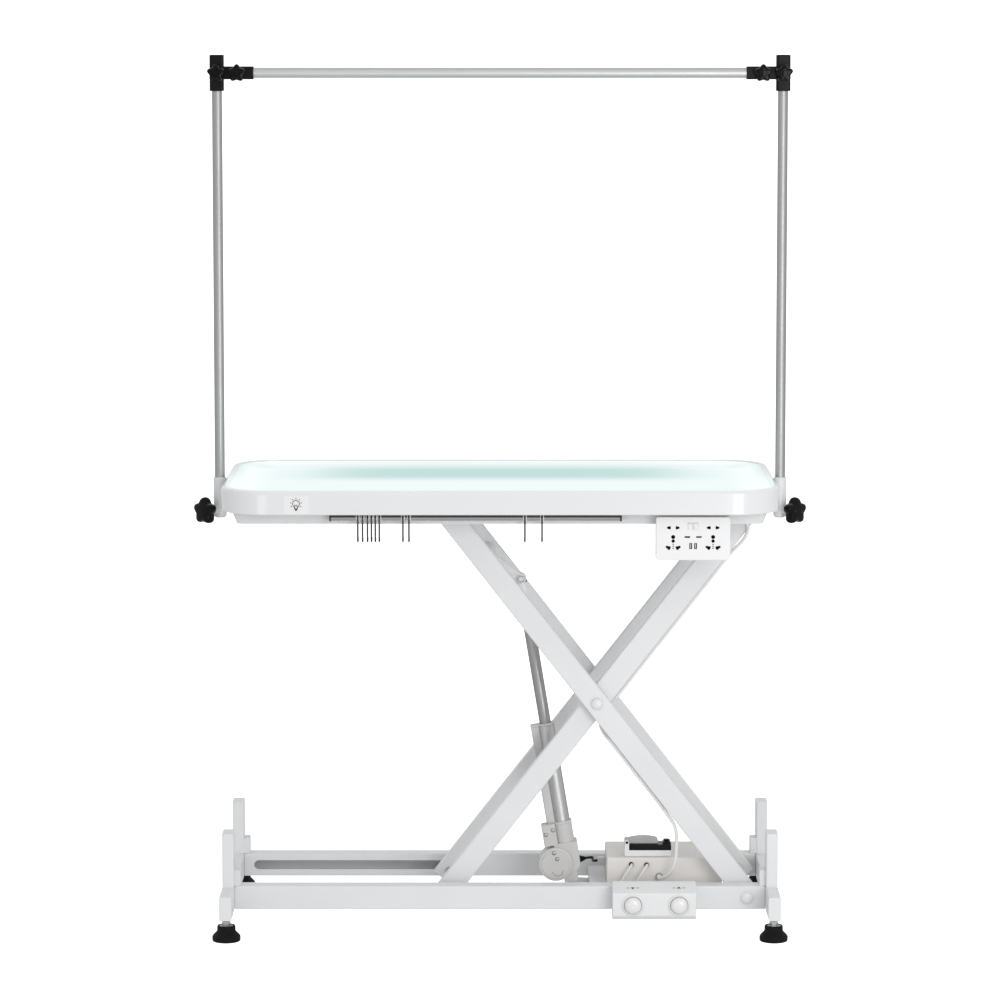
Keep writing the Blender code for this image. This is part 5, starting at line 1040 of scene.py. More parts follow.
# %% Poles and bar
ENDS = ((-1, "left"), (1, "right"))
POLE_RADIUS, POLE_BORE = 0.0113, 0.0098
pole_low, pole_high = span("pole_left")
bar_low, bar_high = span("cross_bar")
POLE_X, BAR_Z = -(pole_low[0] + pole_high[0]) / 2, (bar_low[2] + bar_high[2]) / 2
POLE_PLUG = np.array(((POLE_BORE - 0.0001, -0.012), (POLE_BORE - 0.0001, -0.001), (POLE_BORE - 0.0025, 0.0)))
for side, end in ENDS:
    place = (side * POLE_X, 0.0, 0.0)
    wall = sleeve(POLE_BORE, POLE_RADIUS, pole_low[2], pole_high[2] - 0.0005, place, (0, 0, 1))
    top = turned(POLE_PLUG + (0.0, pole_high[2]), place, (0, 0, 1))
    parts = [("pole aluminium", wall), ("black plastic", top)]
    add_piece(f"pole_{end}_tube", parts, "poles", "aluminium", f"pole_{end}")
bar_half = bar_high[0]
bar_wall = sleeve(POLE_BORE, POLE_RADIUS, -bar_half, bar_half, (0.0, 0.0, BAR_Z), (1, 0, 0))
add_piece("cross_bar_tube", [("bar aluminium", bar_wall)], "overhead_bar", "aluminium", "cross_bar")
print("poles", round(pole_high[2] - pole_low[2], 3), "m, bar", round(2 * bar_half, 3), "m")

# %% [markdown]
# At each end a clamp on the pan holds its pole: a white sleeve with a short arm and a boss for the knob's
# screw. At the top, a black moulded corner has an upright sleeve for the pole and a level one for the bar.
# Both are blocks and turned skins, and the corner has a bore cut right through, so that it can slide on its
# pole.

# %% Pole clamps
clamp_low, clamp_high = span("clamp_left")
CLAMP_RADIUS, BORE = 0.0148, POLE_RADIUS + 0.0004
KNOB_SEAT = CLAMP_RADIUS + 0.0052
CLAMP_KNOB_Z = clamp_low[2] + 0.016
IN_SLEEVE, ARM_ROOT, ARM_HALF, ARM_HEIGHT = 0.0125, 0.5905, 0.0126, 0.0143
BOSS_RADIUS = 0.009


def clamp_parts(side):
    """A sleeve round the pole, a block from the pan into its wall, and a turned boss that faces the knob."""
    place = (side * POLE_X, 0.0, 0.0)
    wall = sleeve(BORE, CLAMP_RADIUS, clamp_low[2], clamp_high[2], place, (0, 0, 1), 0.0015)
    left, right = sorted((side * ARM_ROOT, side * (POLE_X - IN_SLEEVE)))
    low, high = (left, -ARM_HALF, RIM_BOTTOM - ARM_HEIGHT), (right, ARM_HALF, RIM_BOTTOM - 0.0004)
    arm = block(low, high, 0.002, 0.0012, "X", 4)
    boss_rows = ((BOSS_RADIUS, IN_SLEEVE), (BOSS_RADIUS, KNOB_SEAT - 0.001), (BOSS_RADIUS - 0.001, KNOB_SEAT))
    boss = turned(boss_rows, (side * POLE_X, 0.0, CLAMP_KNOB_Z), (side, -1, 0), 40)
    return [("white paint", made) for made in (wall, arm, boss)]


for side, end in ENDS:
    add_piece(f"clamp_{end}_sleeve", clamp_parts(side), "table", "white_paint", f"clamp_{end}")
print("clamp sleeves", round(clamp_high[2] - clamp_low[2], 4), "m long")

# %% Corner joints
corner_low, corner_high = span("corner_left")
CORNER_HALF, LEVEL_HALF, BOSS_HEIGHT = 0.01575, 0.0145, 0.006
ARM_KNOB_X = 0.58975
LEVEL_END = -corner_high[0]


def add_corner(side, end):
    """Two blocks and two turned bosses, with the pole's bore cut through the upright one."""
    x = side * POLE_X
    low, high = (x - CORNER_HALF, -CORNER_HALF, corner_low[2]), (x + CORNER_HALF, CORNER_HALF, corner_high[2])
    upright = block(low, high, 0.005, 0.002)
    left, right = sorted((side * LEVEL_END, x))
    low, high = (left, -LEVEL_HALF, BAR_Z - LEVEL_HALF), (right, LEVEL_HALF, BAR_Z + LEVEL_HALF)
    level = block(low, high, 0.004, 0.0016, "X")
    parts = [("black plastic", upright), ("black plastic", level)]
    for knob_x, half in ((x, CORNER_HALF), (side * ARM_KNOB_X, LEVEL_HALF)):
        boss = ((BOSS_RADIUS, half - 0.004), (BOSS_RADIUS, half + 0.005), (0.0082, half + BOSS_HEIGHT))
        parts.append(("black plastic", turned(boss, (knob_x, 0.0, BAR_Z), (0, -1, 0), 40)))
    corner = add_object(f"corner_{end}_joint", build_mesh(f"corner_{end}_joint", parts))
    bore_rows = ((BORE, corner_low[2] - 0.01), (BORE, corner_high[2] + 0.01))
    carve(corner, [("black plastic", turned(bore_rows, (x, 0.0, 0.0), (0, 0, 1)))])
    settle(corner, "overhead_bar", "black_plastic", f"corner_{end}")


for side, end in ENDS:
    add_corner(side, end)
print("clamps and corners at X", round(POLE_X, 4))

# %% [markdown]
# All six knobs are five-lobed stars of black plastic, pressed on a steel screw. A knob could be a round
# with five bites taken out, but its lobes flow into one another. Here the radius of each ring swings with
# the cosine of five times the angle, and that swing fades to nothing at the hub below and at the cap on
# top.

# %% Star knobs
LOBES, LOBE_DEPTH, GRIP_UP, SIDE_SHARE = 5, 0.13, 0.008, 0.94
CLAMP_KNOB, CORNER_KNOB = (0.0315, 0.0235), (0.0205, 0.016)
SCREW_RADIUS = 0.0038


def star_knob(place, axis, seat, radius, thick):
    """Ring radius = share times radius times (1 - swing times depth times (1 - cosine of five turns))."""
    axis = unit(axis)
    across = np.array((0.0, 0.0, 1.0))
    hub = seat + 0.0003
    grip = hub + GRIP_UP
    turn = np.linspace(0.0, np.pi, 15)
    side_share = 0.80 + 0.20 * np.sin(turn) ** 0.8
    side_height = grip + thick * (0.5 - 0.5 * np.cos(turn)) * SIDE_SHARE
    below = np.array((
        (0.0072 / radius, hub, 0.0),
        (0.008 / radius, hub + 0.002, 0.0),
        (0.008 / radius, grip - 0.001, 0.0),
        (0.62, grip, 0.7),
    ))
    side = np.stack([side_share, side_height, np.ones(15)], axis=-1)
    top = grip + thick * SIDE_SHARE
    above = np.array((
        (0.66, top + thick * 0.03, 0.9),
        (0.50, top + thick * 0.05, 0.5),
        (0.40, top + thick * 0.05, 0.0),
        (0.37, top + thick * 0.02, 0.0),
        (0.34, top + thick * 0.02, 0.0),
        (0.31, top + thick * 0.06, 0.0),
        (0.10, top + thick * 0.08, 0.0),
    ))
    share, height, swing = np.concatenate([below, side, above]).T
    angle = np.linspace(0.0, 2 * np.pi, 100, endpoint=False)
    wave = 1 - swing[:, None] * LOBE_DEPTH * (1 - np.cos(LOBES * angle))
    ring = np.cos(angle)[:, None] * across + np.sin(angle)[:, None] * np.cross(axis, across)
    reach = (share[:, None] * radius * wave)[..., None]
    return skin(np.array(place) + height[:, None, None] * axis + reach * ring)


def add_knob(node, place, axis, seat, radius, thick):
    """A star on its seat, with a screw that reaches almost to the pole or the bar."""
    screw = turned(((SCREW_RADIUS, POLE_RADIUS + 0.0008), (SCREW_RADIUS, seat + 0.002)), place, axis, 24)
    parts = [("knob black", star_knob(place, axis, seat, radius, thick)), ("zinc", screw)]
    add_piece(node + "_star", parts, node, "black_plastic", node)


for side, end in ENDS:
    clamp_place, clamp_axis = (side * POLE_X, 0.0, CLAMP_KNOB_Z), (side, -1, 0)
    add_knob(f"clamp_knob_{end}", clamp_place, clamp_axis, KNOB_SEAT + BOSS_HEIGHT, *CLAMP_KNOB)
    for kind, x, half in (("pole", POLE_X, CORNER_HALF), ("bar", ARM_KNOB_X, LEVEL_HALF)):
        place = (side * x, 0.0, BAR_Z)
        add_knob(f"{kind}_knob_{end}", place, (0, -1, 0), half + BOSS_HEIGHT, *CORNER_KNOB)
print("knobs: 6")

# %% [markdown]
# The table stands on four levelling feet: a bell of black rubber under a zinc nut, on a threaded stem. The
# bell's waist is a smooth curve between its wide sole and its narrow shoulder, and the thread is a row of
# small ridges.

# %% Levelling feet
FOOT_SOLE, FOOT_SHOULDER, FOOT_HEIGHT = 0.0316, 0.0205, 0.036
WAIST_FROM, WAIST_OVER = 0.010, 0.016
NUT_WIDTH, STEM_RADIUS, THREAD_DEPTH = 0.0165, 0.005, 0.0006
CUP_ROWS = np.array(((0.0162, -0.0020), (0.0150, -0.0010), (0.0070, -0.0005)))


def foot_bell():
    """Radius over height: a rounded sole, then an eased fall from sole to shoulder, then a rolled lip."""
    share = np.linspace(0.0, 1.0, 16)
    ease = share * share * (3 - 2 * share)
    waist_radius = FOOT_SOLE + (FOOT_SHOULDER - FOOT_SOLE) * ease
    waist = np.stack([waist_radius, WAIST_FROM + WAIST_OVER * share], axis=-1)
    sole = np.array(((0.0290, 0.0), (0.0306, 0.0008), (0.0314, 0.0025), (FOOT_SOLE, 0.006)))
    lip = np.array(((0.0205, -0.004), (0.0200, -0.0015), (0.0188, 0.0), (0.0172, 0.0), (0.0160, -0.0015)))
    return np.vstack([sole, waist, lip + (0.0, FOOT_HEIGHT)])


def stem_profile(low, high, radius, pitch=0.0016):
    """A thread seen from its side: the radius swings between crest and root at a steady pitch."""
    height = np.arange(low, high, pitch / 2)
    ridge = np.where(np.arange(len(height)) % 2, radius, radius - THREAD_DEPTH)
    return np.stack([ridge, height], axis=-1)


def hexagon(width, middle):
    """Six points round a circle; the width is across the flats."""
    return circle(width / math.sqrt(3), middle, 6)


for row in ("front", "rear"):
    for end in ("left", "right"):
        node = f"foot_{row}_{end}"
        low, high = span(node)
        place = ((low[0] + high[0]) / 2, (low[1] + high[1]) / 2, 0.0)
        nut = prism(hexagon(NUT_WIDTH, place[:2]), "Z", FOOT_HEIGHT - 0.001, FOOT_HEIGHT + 0.0085)
        cup = turned(CUP_ROWS + (0.0, FOOT_HEIGHT), place, (0, 0, 1))
        stem = turned(stem_profile(FOOT_HEIGHT, high[2], STEM_RADIUS), place, (0, 0, 1), 24)
        parts = [("black rubber", turned(foot_bell(), place, (0, 0, 1), 64))]
        parts += [("zinc", cup), ("zinc", nut), ("zinc", stem)]
        add_piece(node + "_bell", parts, node, "black_rubber", node)
print("feet: 4")

# %% [markdown]
# The lift's pivots end in white domed caps, and its rollers are grey wheels on steel axles that run in the
# slots of the floor rails and of the tracks under the table. They are all turned. The tube between the
# outer arms carries two slotted ears for the drive's head pin: plates drawn round circles, with one window
# cut through both.

# %% Pivot caps
def dome(radius, low, high):
    """A cap whose edge rises on a quarter ellipse."""
    turn = np.linspace(0.0, np.pi / 2 * 0.97, 10)
    curve = np.stack([radius * np.cos(turn) ** 0.75, low + (high - low) * np.sin(turn)], axis=-1)
    return np.vstack([((radius, low - 0.002),), curve])


CENTRE = on_arm_a(ARM_LENGTH / 2, 0.0, 0.0)
CENTRE_CAP, FLOOR_CAP = (0.0142, 0.150, 0.1595), (0.0148, 0.205, 0.2145)
for side, row in ((-1, "front"), (1, "rear")):
    cap = turned(dome(*CENTRE_CAP), CENTRE, (0, side, 0))
    add_piece(f"centre_cap_{row}", [("white paint", cap)], "arm_a", "white_paint")
    cap = turned(dome(*FLOOR_CAP), ARM_A_FOOT, (0, side, 0))
    add_piece(f"floor_cap_{row}", [("white paint", cap)], "base", "white_paint")
print("pivot caps: 4")

# %% Rollers and axle
WHEEL_BORE, WHEEL_EDGE, WHEEL_DISH = 0.0073, 0.002, 0.0012
AXLE_RADIUS, AXLE_END, AXLE_CHAMFER = 0.007, 0.006, 0.001


def wheel(near, far, radius):
    """A wheel's wall: rounded rims, and a shallow dish on the inner face."""
    return (
        (WHEEL_BORE, near),
        (WHEEL_BORE + 0.004, near),
        (WHEEL_BORE + 0.0045, near + WHEEL_DISH),
        (radius - 0.004, near + WHEEL_DISH),
        (radius - 0.0035, near),
        (radius - WHEEL_EDGE, near),
        (radius, near + WHEEL_EDGE),
        (radius, far - WHEEL_EDGE),
        (radius - WHEEL_EDGE, far),
        (WHEEL_BORE, far),
    )


for node in ("base_roller_front", "base_roller_rear", "top_roller_front", "top_roller_rear"):
    low, high = span(node)
    middle, radius = (low + high) / 2, (high[0] - low[0]) / 2
    way = -1 if node.endswith("front") else 1
    near, far = sorted((abs(low[1]), abs(high[1])))
    wall = turned(wheel(near, far, radius), (middle[0], 0.0, middle[2]), (0, way, 0), 48, True)
    body = "base_rollers" if node.startswith("base") else "top_rollers"
    add_piece(node + "_wheel", [("lid grey", wall)], body, "grey_plastic", node)
(_, low, _), (_, high, _) = span("base_axle")
axle_rows = (
    (AXLE_END, low),
    (AXLE_RADIUS, low + AXLE_CHAMFER),
    (AXLE_RADIUS, high - AXLE_CHAMFER),
    (AXLE_END, high),
)
axle = turned(axle_rows, ARM_B_FOOT, (0, 1, 0))
add_piece("base_axle_bar", [("zinc", axle)], "arm_b", "steel", "base_axle")
print("rollers: 4")

# %% Cross tube with slotted ears
CROSS_ALONG, CROSS_RADIUS, CROSS_HALF = 0.950, 0.016, 0.1247
HEAD_PIN, SLOT_END, PIN_RADIUS = (0.8632, 0.0290), (0.9010, -0.0013), 0.006
EAR_NEAR, EAR_FAR, SLOT_PLAY, WINDOW_HALF = 0.0146, 0.0206, 0.0016, 0.03


def flat(place):
    """X and Z of a place on the outer arm, given as along and above."""
    return on_arm_a(*place, 0.0)[[0, 2]]


cross_place = on_arm_a(CROSS_ALONG, 0.0, 0.0)
bar_rows = ((CROSS_RADIUS, -CROSS_HALF), (CROSS_RADIUS, CROSS_HALF))
cross_parts = [("white paint", turned(bar_rows, cross_place, (0, 1, 0), 64))]
ear_rounds = [circle(1.5 * PIN_RADIUS, flat(place)) for place in (HEAD_PIN, SLOT_END)]
ear_outline = hull(*ear_rounds, circle(0.9 * CROSS_RADIUS, flat((CROSS_ALONG, 0.0))))
for near, far in ((-EAR_FAR, -EAR_NEAR), (EAR_NEAR, EAR_FAR)):
    cross_parts.append(("white paint", prism(ear_outline, "Y", near, far)))
cross_tube = add_object("cross_tube_with_ears", build_mesh("cross_tube_with_ears", cross_parts))
window = hull(*[circle(PIN_RADIUS + SLOT_PLAY, flat(place)) for place in (HEAD_PIN, SLOT_END)])
carve(cross_tube, [("white paint", prism(window, "Y", -WINDOW_HALF, WINDOW_HALF))])
add_bevel(cross_tube, 0.0008, 2)
settle(cross_tube, "arm_a", "white_paint", "arm_a_cross_tube")
print("ear outline points:", len(ear_outline))

# %% [markdown]
# The drive is an electric cylinder. Its aluminium tube has a flat channel for its switches down one side,
# its rod slides out of the top, and a cast housing at its foot holds the gears, with the motor behind. The
# housing is a hull drawn round circles, carried front to back, with a bore cut down it for the rod, painted
# near black inside as shade. Its round cover is turned, and has small screws in dark rings of painted shade
# and a curved rib whose dark grey is painted shade of a groove.

# %% Drive tube and rod
DRIVE_LENGTH = 0.72583
TUBE_TOP, TUBE_RADIUS, ROD_RADIUS = 0.387, 0.019, 0.013
HOUSING_TOP, COLLAR = 0.157, 0.005
FORWARD = np.array((0.0, -1.0, 0.0))


def on_drive_frame(made):
    """Turns a skin drawn with X to the drive's left, Y away from the viewer and Z up along the drive."""
    points, faces = made
    axes = np.stack([DRIVE_LEFT, (0.0, 1.0, 0.0), DRIVE_UP])
    return points @ axes + DRIVE_FOOT, faces


BORE_OF_TUBE = ROD_RADIUS + 0.0004
tube_low, collar_low = HOUSING_TOP - 0.004, TUBE_TOP - COLLAR
tube_wall = sleeve(BORE_OF_TUBE, TUBE_RADIUS, tube_low, collar_low, DRIVE_FOOT, DRIVE_UP, 0.0004, 64)
collar = sleeve(BORE_OF_TUBE, TUBE_RADIUS + 0.0007, collar_low, TUBE_TOP, DRIVE_FOOT, DRIVE_UP, 0.0010, 64)
channel = block((0.0150, -0.012, HOUSING_TOP - 0.002), (0.0345, 0.012, collar_low), 0.002, 0.0008)
channel_cap = block((0.0160, -0.0124, collar_low), (0.0349, 0.0124, TUBE_TOP), 0.002, 0.0008)
tube_parts = [
    ("drive aluminium", tube_wall),
    ("drive grey", collar),
    ("drive aluminium", on_drive_frame(channel)),
    ("drive grey", on_drive_frame(channel_cap)),
]
add_piece("actuator_tube_body", tube_parts, "actuator", "aluminium", "actuator_tube")
rod_rows = (
    (0.012, 0.31),
    (ROD_RADIUS, 0.3115),
    (ROD_RADIUS, DRIVE_LENGTH - 0.008),
    (0.0118, DRIVE_LENGTH - 0.004),
)
HEAD = on_drive(DRIVE_LENGTH, 0, 0)
eye = turned(((0.0110, -0.0118), (0.0118, -0.011), (0.0118, 0.011), (0.0110, 0.0118)), HEAD, FORWARD)
pin = turned(((0.0052, -0.0222), (0.006, -0.0214), (0.006, 0.0214), (0.0052, 0.0222)), HEAD, FORWARD)
SLEEVE_BORE, SLEEVE_RADIUS = ROD_RADIUS - 0.001, ROD_RADIUS + 0.0008
SLEEVE_LOW, SLEEVE_HIGH = 0.652, DRIVE_LENGTH - 0.010
rod_end = sleeve(SLEEVE_BORE, SLEEVE_RADIUS, SLEEVE_LOW, SLEEVE_HIGH, DRIVE_FOOT, DRIVE_UP, 0.0006, 64)
rod_parts = [("rod steel", turned(rod_rows, DRIVE_FOOT, DRIVE_UP, 64)), ("white paint", rod_end)]
rod_parts += [("white paint", eye), ("white paint", pin)]
add_piece("rod_bar", rod_parts, "actuator_rod", "steel", "rod")
print("drive length", DRIVE_LENGTH, "m")

# %% Drive housing
GEAR_ALONG, GEAR_LEFT, GEAR_RADIUS = 0.063, 0.029, 0.039
SHELL_HALF, SHELL_DEPTH, BODY_TOP = 0.027, 0.024, 0.108
PIN_FOOT, PIN_FOOT_HALF, ROD_ROOM_LOW = 0.016, 0.0216, 0.068


def screw_head(place, axis, radius, height):
    """A low domed screw head with a dished middle."""
    rows = ((radius, -0.001), (radius, height * 0.4), (radius * 0.85, height * 0.8), (radius * 0.5, height))
    return turned((*rows, (radius * 0.42, height * 0.72), (radius * 0.1, height * 0.70)), place, axis, 20)


def housing_shell():
    """A body round the gears, a foot for the pin, a socket for the tube and a block for the switches."""
    square = np.array(((SHELL_HALF, BODY_TOP), (-SHELL_HALF, BODY_TOP), (-SHELL_HALF, GEAR_ALONG)))
    outline = hull(circle(SHELL_HALF, (0.0, GEAR_ALONG)), square)
    foot = hull(circle(PIN_FOOT, (0.0, 0.0)), circle(PIN_FOOT, (0.0, GEAR_ALONG)))
    socket_rows = np.array((
        (0.0, BODY_TOP - 0.01),
        (0.0, HOUSING_TOP - 0.006),
        (0.0012, HOUSING_TOP - 0.005),
        (0.0012, HOUSING_TOP - 0.0008),
        (0.0004, HOUSING_TOP),
    ))
    parts = [prism(outline, "Y", -SHELL_DEPTH, SHELL_DEPTH), prism(foot, "Y", -PIN_FOOT_HALF, PIN_FOOT_HALF)]
    parts.append(turned(socket_rows + (TUBE_RADIUS + 0.003, 0.0), (0, 0, 0), (0, 0, 1), 64))
    parts.append(block((0.0165, -0.0270, 0.106), (0.0480, 0.0120, HOUSING_TOP - 0.001), 0.004, 0.0015))
    return [on_drive_frame(part) for part in parts]


def gear_cover():
    """Cover radius over depth: a rounded rim, a narrow flat and a raised middle."""
    rows = (
        (GEAR_RADIUS, -0.021),
        (GEAR_RADIUS, 0.0270),
        (GEAR_RADIUS - 0.0010, 0.0290),
        (GEAR_RADIUS - 0.0030, 0.0300),
        (GEAR_RADIUS - 0.0060, 0.0302),
        (0.0320, 0.0326),
        (0.0310, 0.0330),
        (0.0010, 0.0330),
    )
    return turned(rows, on_drive(GEAR_ALONG, GEAR_LEFT, 0.0), FORWARD, 72)


housing = add_object("gear_housing_shell", build_mesh("gear_housing_shell", [
    *[("drive grey", part) for part in housing_shell()],
    ("drive grey", gear_cover()),
]))
# Painted shade: the bore for the rod is near black inside.
room_rows = ((BORE_OF_TUBE, ROD_ROOM_LOW), (BORE_OF_TUBE, HOUSING_TOP + 0.01))
carve(housing, [("painted hollow shade", turned(room_rows, DRIVE_FOOT, DRIVE_UP, 64))])
add_bevel(housing, 0.0012, 2)
settle(housing, "actuator", "cast_grey", "gear_housing")
SCREWS = ((0.0900, 0.0290, 0.033), (0.0755, 0.0241, 0.033), (0.134, 0.0405, 0.027), (0.142, 0.0230, 0.027))
SCREW_SHADE_ROWS = ((0.0046, -0.001), (0.0046, 0.0002), (0.0042, 0.0004))
RIB_ALONG, RIB_LEFT, RIB_RADIUS, RIB_Y = GEAR_ALONG - 0.0150, GEAR_LEFT - 0.002, 0.0120, -0.0331
screws = []
# Painted shade: each screw head sits in a dark ring.
for along, left, depth in SCREWS:
    place = on_drive(along, left, -depth)
    screws.append(("painted shade grey", turned(SCREW_SHADE_ROWS, place, FORWARD, 24)))
    screws.append(("zinc", screw_head(place, FORWARD, 0.0036, 0.0016)))
# Painted shade: the curved rib is dark grey, as a groove in shade would be.
rib = []
for turn in np.linspace(np.pi, 2 * np.pi, 30):
    along, left = RIB_ALONG + RIB_RADIUS * np.sin(turn), RIB_LEFT + RIB_RADIUS * np.cos(turn)
    rib.append(on_drive(along, left, RIB_Y))
screws.append(("seat grey", tube(np.array(rib), 0.0008, FORWARD, 8)))
add_piece("gear_housing_screws", screws, "actuator", "steel")
motor_profile = (
    (0.0232, 0.0243),
    (0.0285, 0.0262),
    (0.029, 0.0275),
    (0.029, 0.060),
    (0.0284, 0.0606),
    (0.0284, 0.0622),
    (0.029, 0.0628),
    (0.029, 0.0800),
    (0.0275, 0.0840),
    (0.024, 0.0863),
    (0.0085, 0.0863),
    (0.0080, 0.0858),
    (0.0010, 0.0858),
)
motor = turned(motor_profile, on_drive(GEAR_ALONG, GEAR_LEFT, 0.0), (0, 1, 0), 64)
add_piece("motor_can", [("black plastic", motor)], "actuator", "motor_shell", "motor")
print("housing screws:", len(SCREWS))

# %% [markdown]
# The control box is a beige sheet-metal box on a tray between the floor rails. Its cables leave through
# glands on the front: a ringed one for the power cable and two small ones for the foot control. A breaker
# with a hinged grey lid sits on top. Boxes are blocks with rounded edges, the lid is a side view carried
# front to back, and the glands are turned.

# %% Control box
box_low, box_high = np.array((BOX_LEFT, -0.096, 0.0566)), np.array((0.5053, 0.096, 0.1486))


def gland(x, z, outer, inner, finish):
    """A short ringed bush on the box's front, with a soft outer edge and an open middle."""
    wall = (
        (inner, 0.0955),
        (outer, 0.0955),
        (outer, 0.0992),
        (outer - 0.0006, 0.1000),
        (inner + 0.0014, 0.1020),
        (inner, 0.1016),
    )
    return finish, turned(wall, (x, 0.0, z), FORWARD, 32, True)


box_parts = [("box beige", block(box_low, box_high, 0.003, 0.0025, "Z"))]
box_parts.append(gland(GLAND[0], GLAND[2], 0.0080, 0.0042, "seat grey"))
for x, z in SIGNAL_GLANDS.values():
    box_parts.append(gland(x, z, 0.0052, 0.0030, "black rubber"))
add_piece("control_box_shell", box_parts, "base", "beige_plastic", "control_box")
boot_path = lower_path[:6]
boot = tube(boot_path, np.linspace(0.0060, 0.0044, len(boot_path)), ARM_GUIDE)
add_piece("power_cable_boot", [("cable white", boot)], "base", "cable_white")
print("control box glands:", len(box_parts) - 1)

# %% Breaker
HINGE = np.array((0.289, 0.1809))
BREAKER_FRONT, BREAKER_BACK, BREAKER_RIGHT = -0.082, -0.034, 0.390
BREAKER_LOW, BREAKER_MID, BREAKER_TOP = 0.1489, 0.1629, 0.1759
EAR_ROUND, EAR_THICK, EAR_FRONT, EAR_REAR = 0.005, 0.0096, BREAKER_FRONT - 0.0004, BREAKER_BACK - 0.0092
BREAKER_KNOB = (
    (0.0075, 0.178),
    (0.0075, 0.1800),
    (0.0058, 0.1808),
    (0.0058, 0.1822),
    (0.0075, 0.1830),
    (0.0075, 0.1842),
    (0.0066, 0.1849),
    (0.001, 0.1849),
)
low, high = (0.284, BREAKER_FRONT, BREAKER_LOW), (BREAKER_RIGHT, BREAKER_BACK, BREAKER_MID)
breaker_parts = [("white plastic", block(low, high, 0.003, 0.0015))]
low, high = (0.294, -0.0805, BREAKER_MID - 0.003), (BREAKER_RIGHT, -0.0355, BREAKER_TOP)
breaker_parts.append(("black plastic", block(low, high, 0.003, 0.0018)))
low, high = (0.3705, -0.073, BREAKER_TOP - 0.002), (0.3895, -0.043, 0.1802)
breaker_parts.append(("black plastic", block(low, high, 0.003, 0.002)))
ear_top = circle(EAR_ROUND, HINGE, 20, 0.0, np.pi)
ear_foot = circle(EAR_ROUND, (HINGE[0], BREAKER_LOW + EAR_ROUND), 20, np.pi, np.pi)
for near in (EAR_FRONT, EAR_REAR):
    ear = prism(np.vstack([ear_top, ear_foot]), "Y", near, near + EAR_THICK)
    breaker_parts.append(("white plastic", ear))
hinge_pin = turned(((0.002, -0.079), (0.002, -0.037)), (HINGE[0], 0.0, HINGE[1]), (0, 1, 0), 20)
breaker_parts.append(("zinc", hinge_pin))
# The hinge screw is near black, as painted shade in the hinge's eye.
hinge_screw = screw_head((HINGE[0], EAR_FRONT, HINGE[1]), FORWARD, 0.003, 0.0012)
breaker_parts.append(("painted hollow shade", hinge_screw))
breaker_parts.append(("black plastic", turned(BREAKER_KNOB, (0.380, -0.058, 0.0), (0, 0, 1), 40)))
add_piece("breaker_case", breaker_parts, "base", "black_plastic", "breaker_body")


def lid_outline():
    """Side view of the lid: a flat foot, a low arch over it, and a barrel round the hinge."""
    under, start, length, height = HINGE[1] - 0.0042, HINGE[0] + 0.005, 0.066, 0.015
    share = np.linspace(0.0, 1.0, 21)
    end = np.clip(share / 0.06, 0.0, 1.0) ** 0.5
    rise = height * (0.72 + 0.28 * np.sin(np.pi * share)) * (0.72 + 0.28 * end)
    arch = np.stack([start + length * (1 - share), under + rise], axis=-1)
    barrel = circle(EAR_ROUND, HINGE, 9, np.pi / 2, np.pi)
    return np.vstack([((HINGE[0], under), (start + length, under)), arch, barrel])


lid = prism(lid_outline(), "Y", BREAKER_FRONT + 0.0100, BREAKER_BACK - 0.0100)
add_piece("breaker_lid_cover", [("lid grey", lid)], "breaker_lid", "grey_plastic", "breaker_lid", bevel=0.001)
print("breaker parts:", len(breaker_parts))

# %% [markdown]
# The foot control hangs on the front rail: a white moulding with a sloped top, two ringed seats and two
# domed buttons. Small arrows on the slope say which button lowers and which raises the table. The moulding
# is a side view carried along X with its edges bevelled, and the seats are cut so that the buttons can be
# pressed in.

# %% Foot control
PEDAL_X = 0.2517, 0.4398
PEDAL_BACK, PEDAL_FRONT = -0.2053, -0.2623
PEDAL_LEDGE, PEDAL_CHAMFER = PEDAL_BACK - 0.017, 0.010
PEDAL_LOW, PEDAL_HIGH, PEDAL_BROW = 0.040, 0.1185, 0.101
BUTTONS = {"pedal_button_down": (0.2975, -1), "pedal_button_up": (0.4010, 1)}
BUTTON_Z, BUTTON_RADIUS, SEAT_RADIUS, BEZEL_BORE = 0.0745, 0.0192, 0.0196, 0.0195
SEAT_DEPTH, SEAT_MOUTH = 0.2523, 0.2723
SKIRT_LOW, SKIRT_HIGH, CROWN = 0.2567, 0.2663, 0.013
PRINT_UNDER, PRINT_OVER = -0.0005, 0.00025
pedal_outline = (
    (PEDAL_BACK, PEDAL_LOW),
    (PEDAL_BACK, PEDAL_HIGH),
    (PEDAL_LEDGE, PEDAL_HIGH),
    (PEDAL_FRONT, PEDAL_BROW),
    (PEDAL_FRONT, PEDAL_LOW + PEDAL_CHAMFER),
    (PEDAL_FRONT + PEDAL_CHAMFER, PEDAL_LOW),
)
case = [("white plastic", prism(pedal_outline, "X", *PEDAL_X))]
pedal = add_object("pedal_box_case", build_mesh("pedal_box_case", case))
add_bevel(pedal, 0.0028, 3)
pedal.data = bpy.data.meshes.new_from_object(pedal.evaluated_get(bpy.context.evaluated_depsgraph_get()))
pedal.modifiers.clear()
seat_rows = ((SEAT_RADIUS, SEAT_DEPTH), (SEAT_RADIUS, SEAT_MOUTH))
seats = []
for x, _ in BUTTONS.values():
    seats.append(("white plastic", turned(seat_rows, (x, 0.0, BUTTON_Z), FORWARD, 64)))
carve(pedal, seats)
settle(pedal, "base", "white_plastic", "pedal_box")


def bezel(x):
    """A ring round the seat: an outer slope, a crown and an inner wall."""
    wall = (
        (BEZEL_BORE, 0.2600),
        (0.0252, 0.2600),
        (0.0250, 0.2634),
        (0.0238, 0.2654),
        (0.0222, 0.2663),
        (0.0205, 0.2658),
        (BEZEL_BORE, 0.2640),
    )
    return turned(wall, (x, 0.0, BUTTON_Z), FORWARD, 72, True)


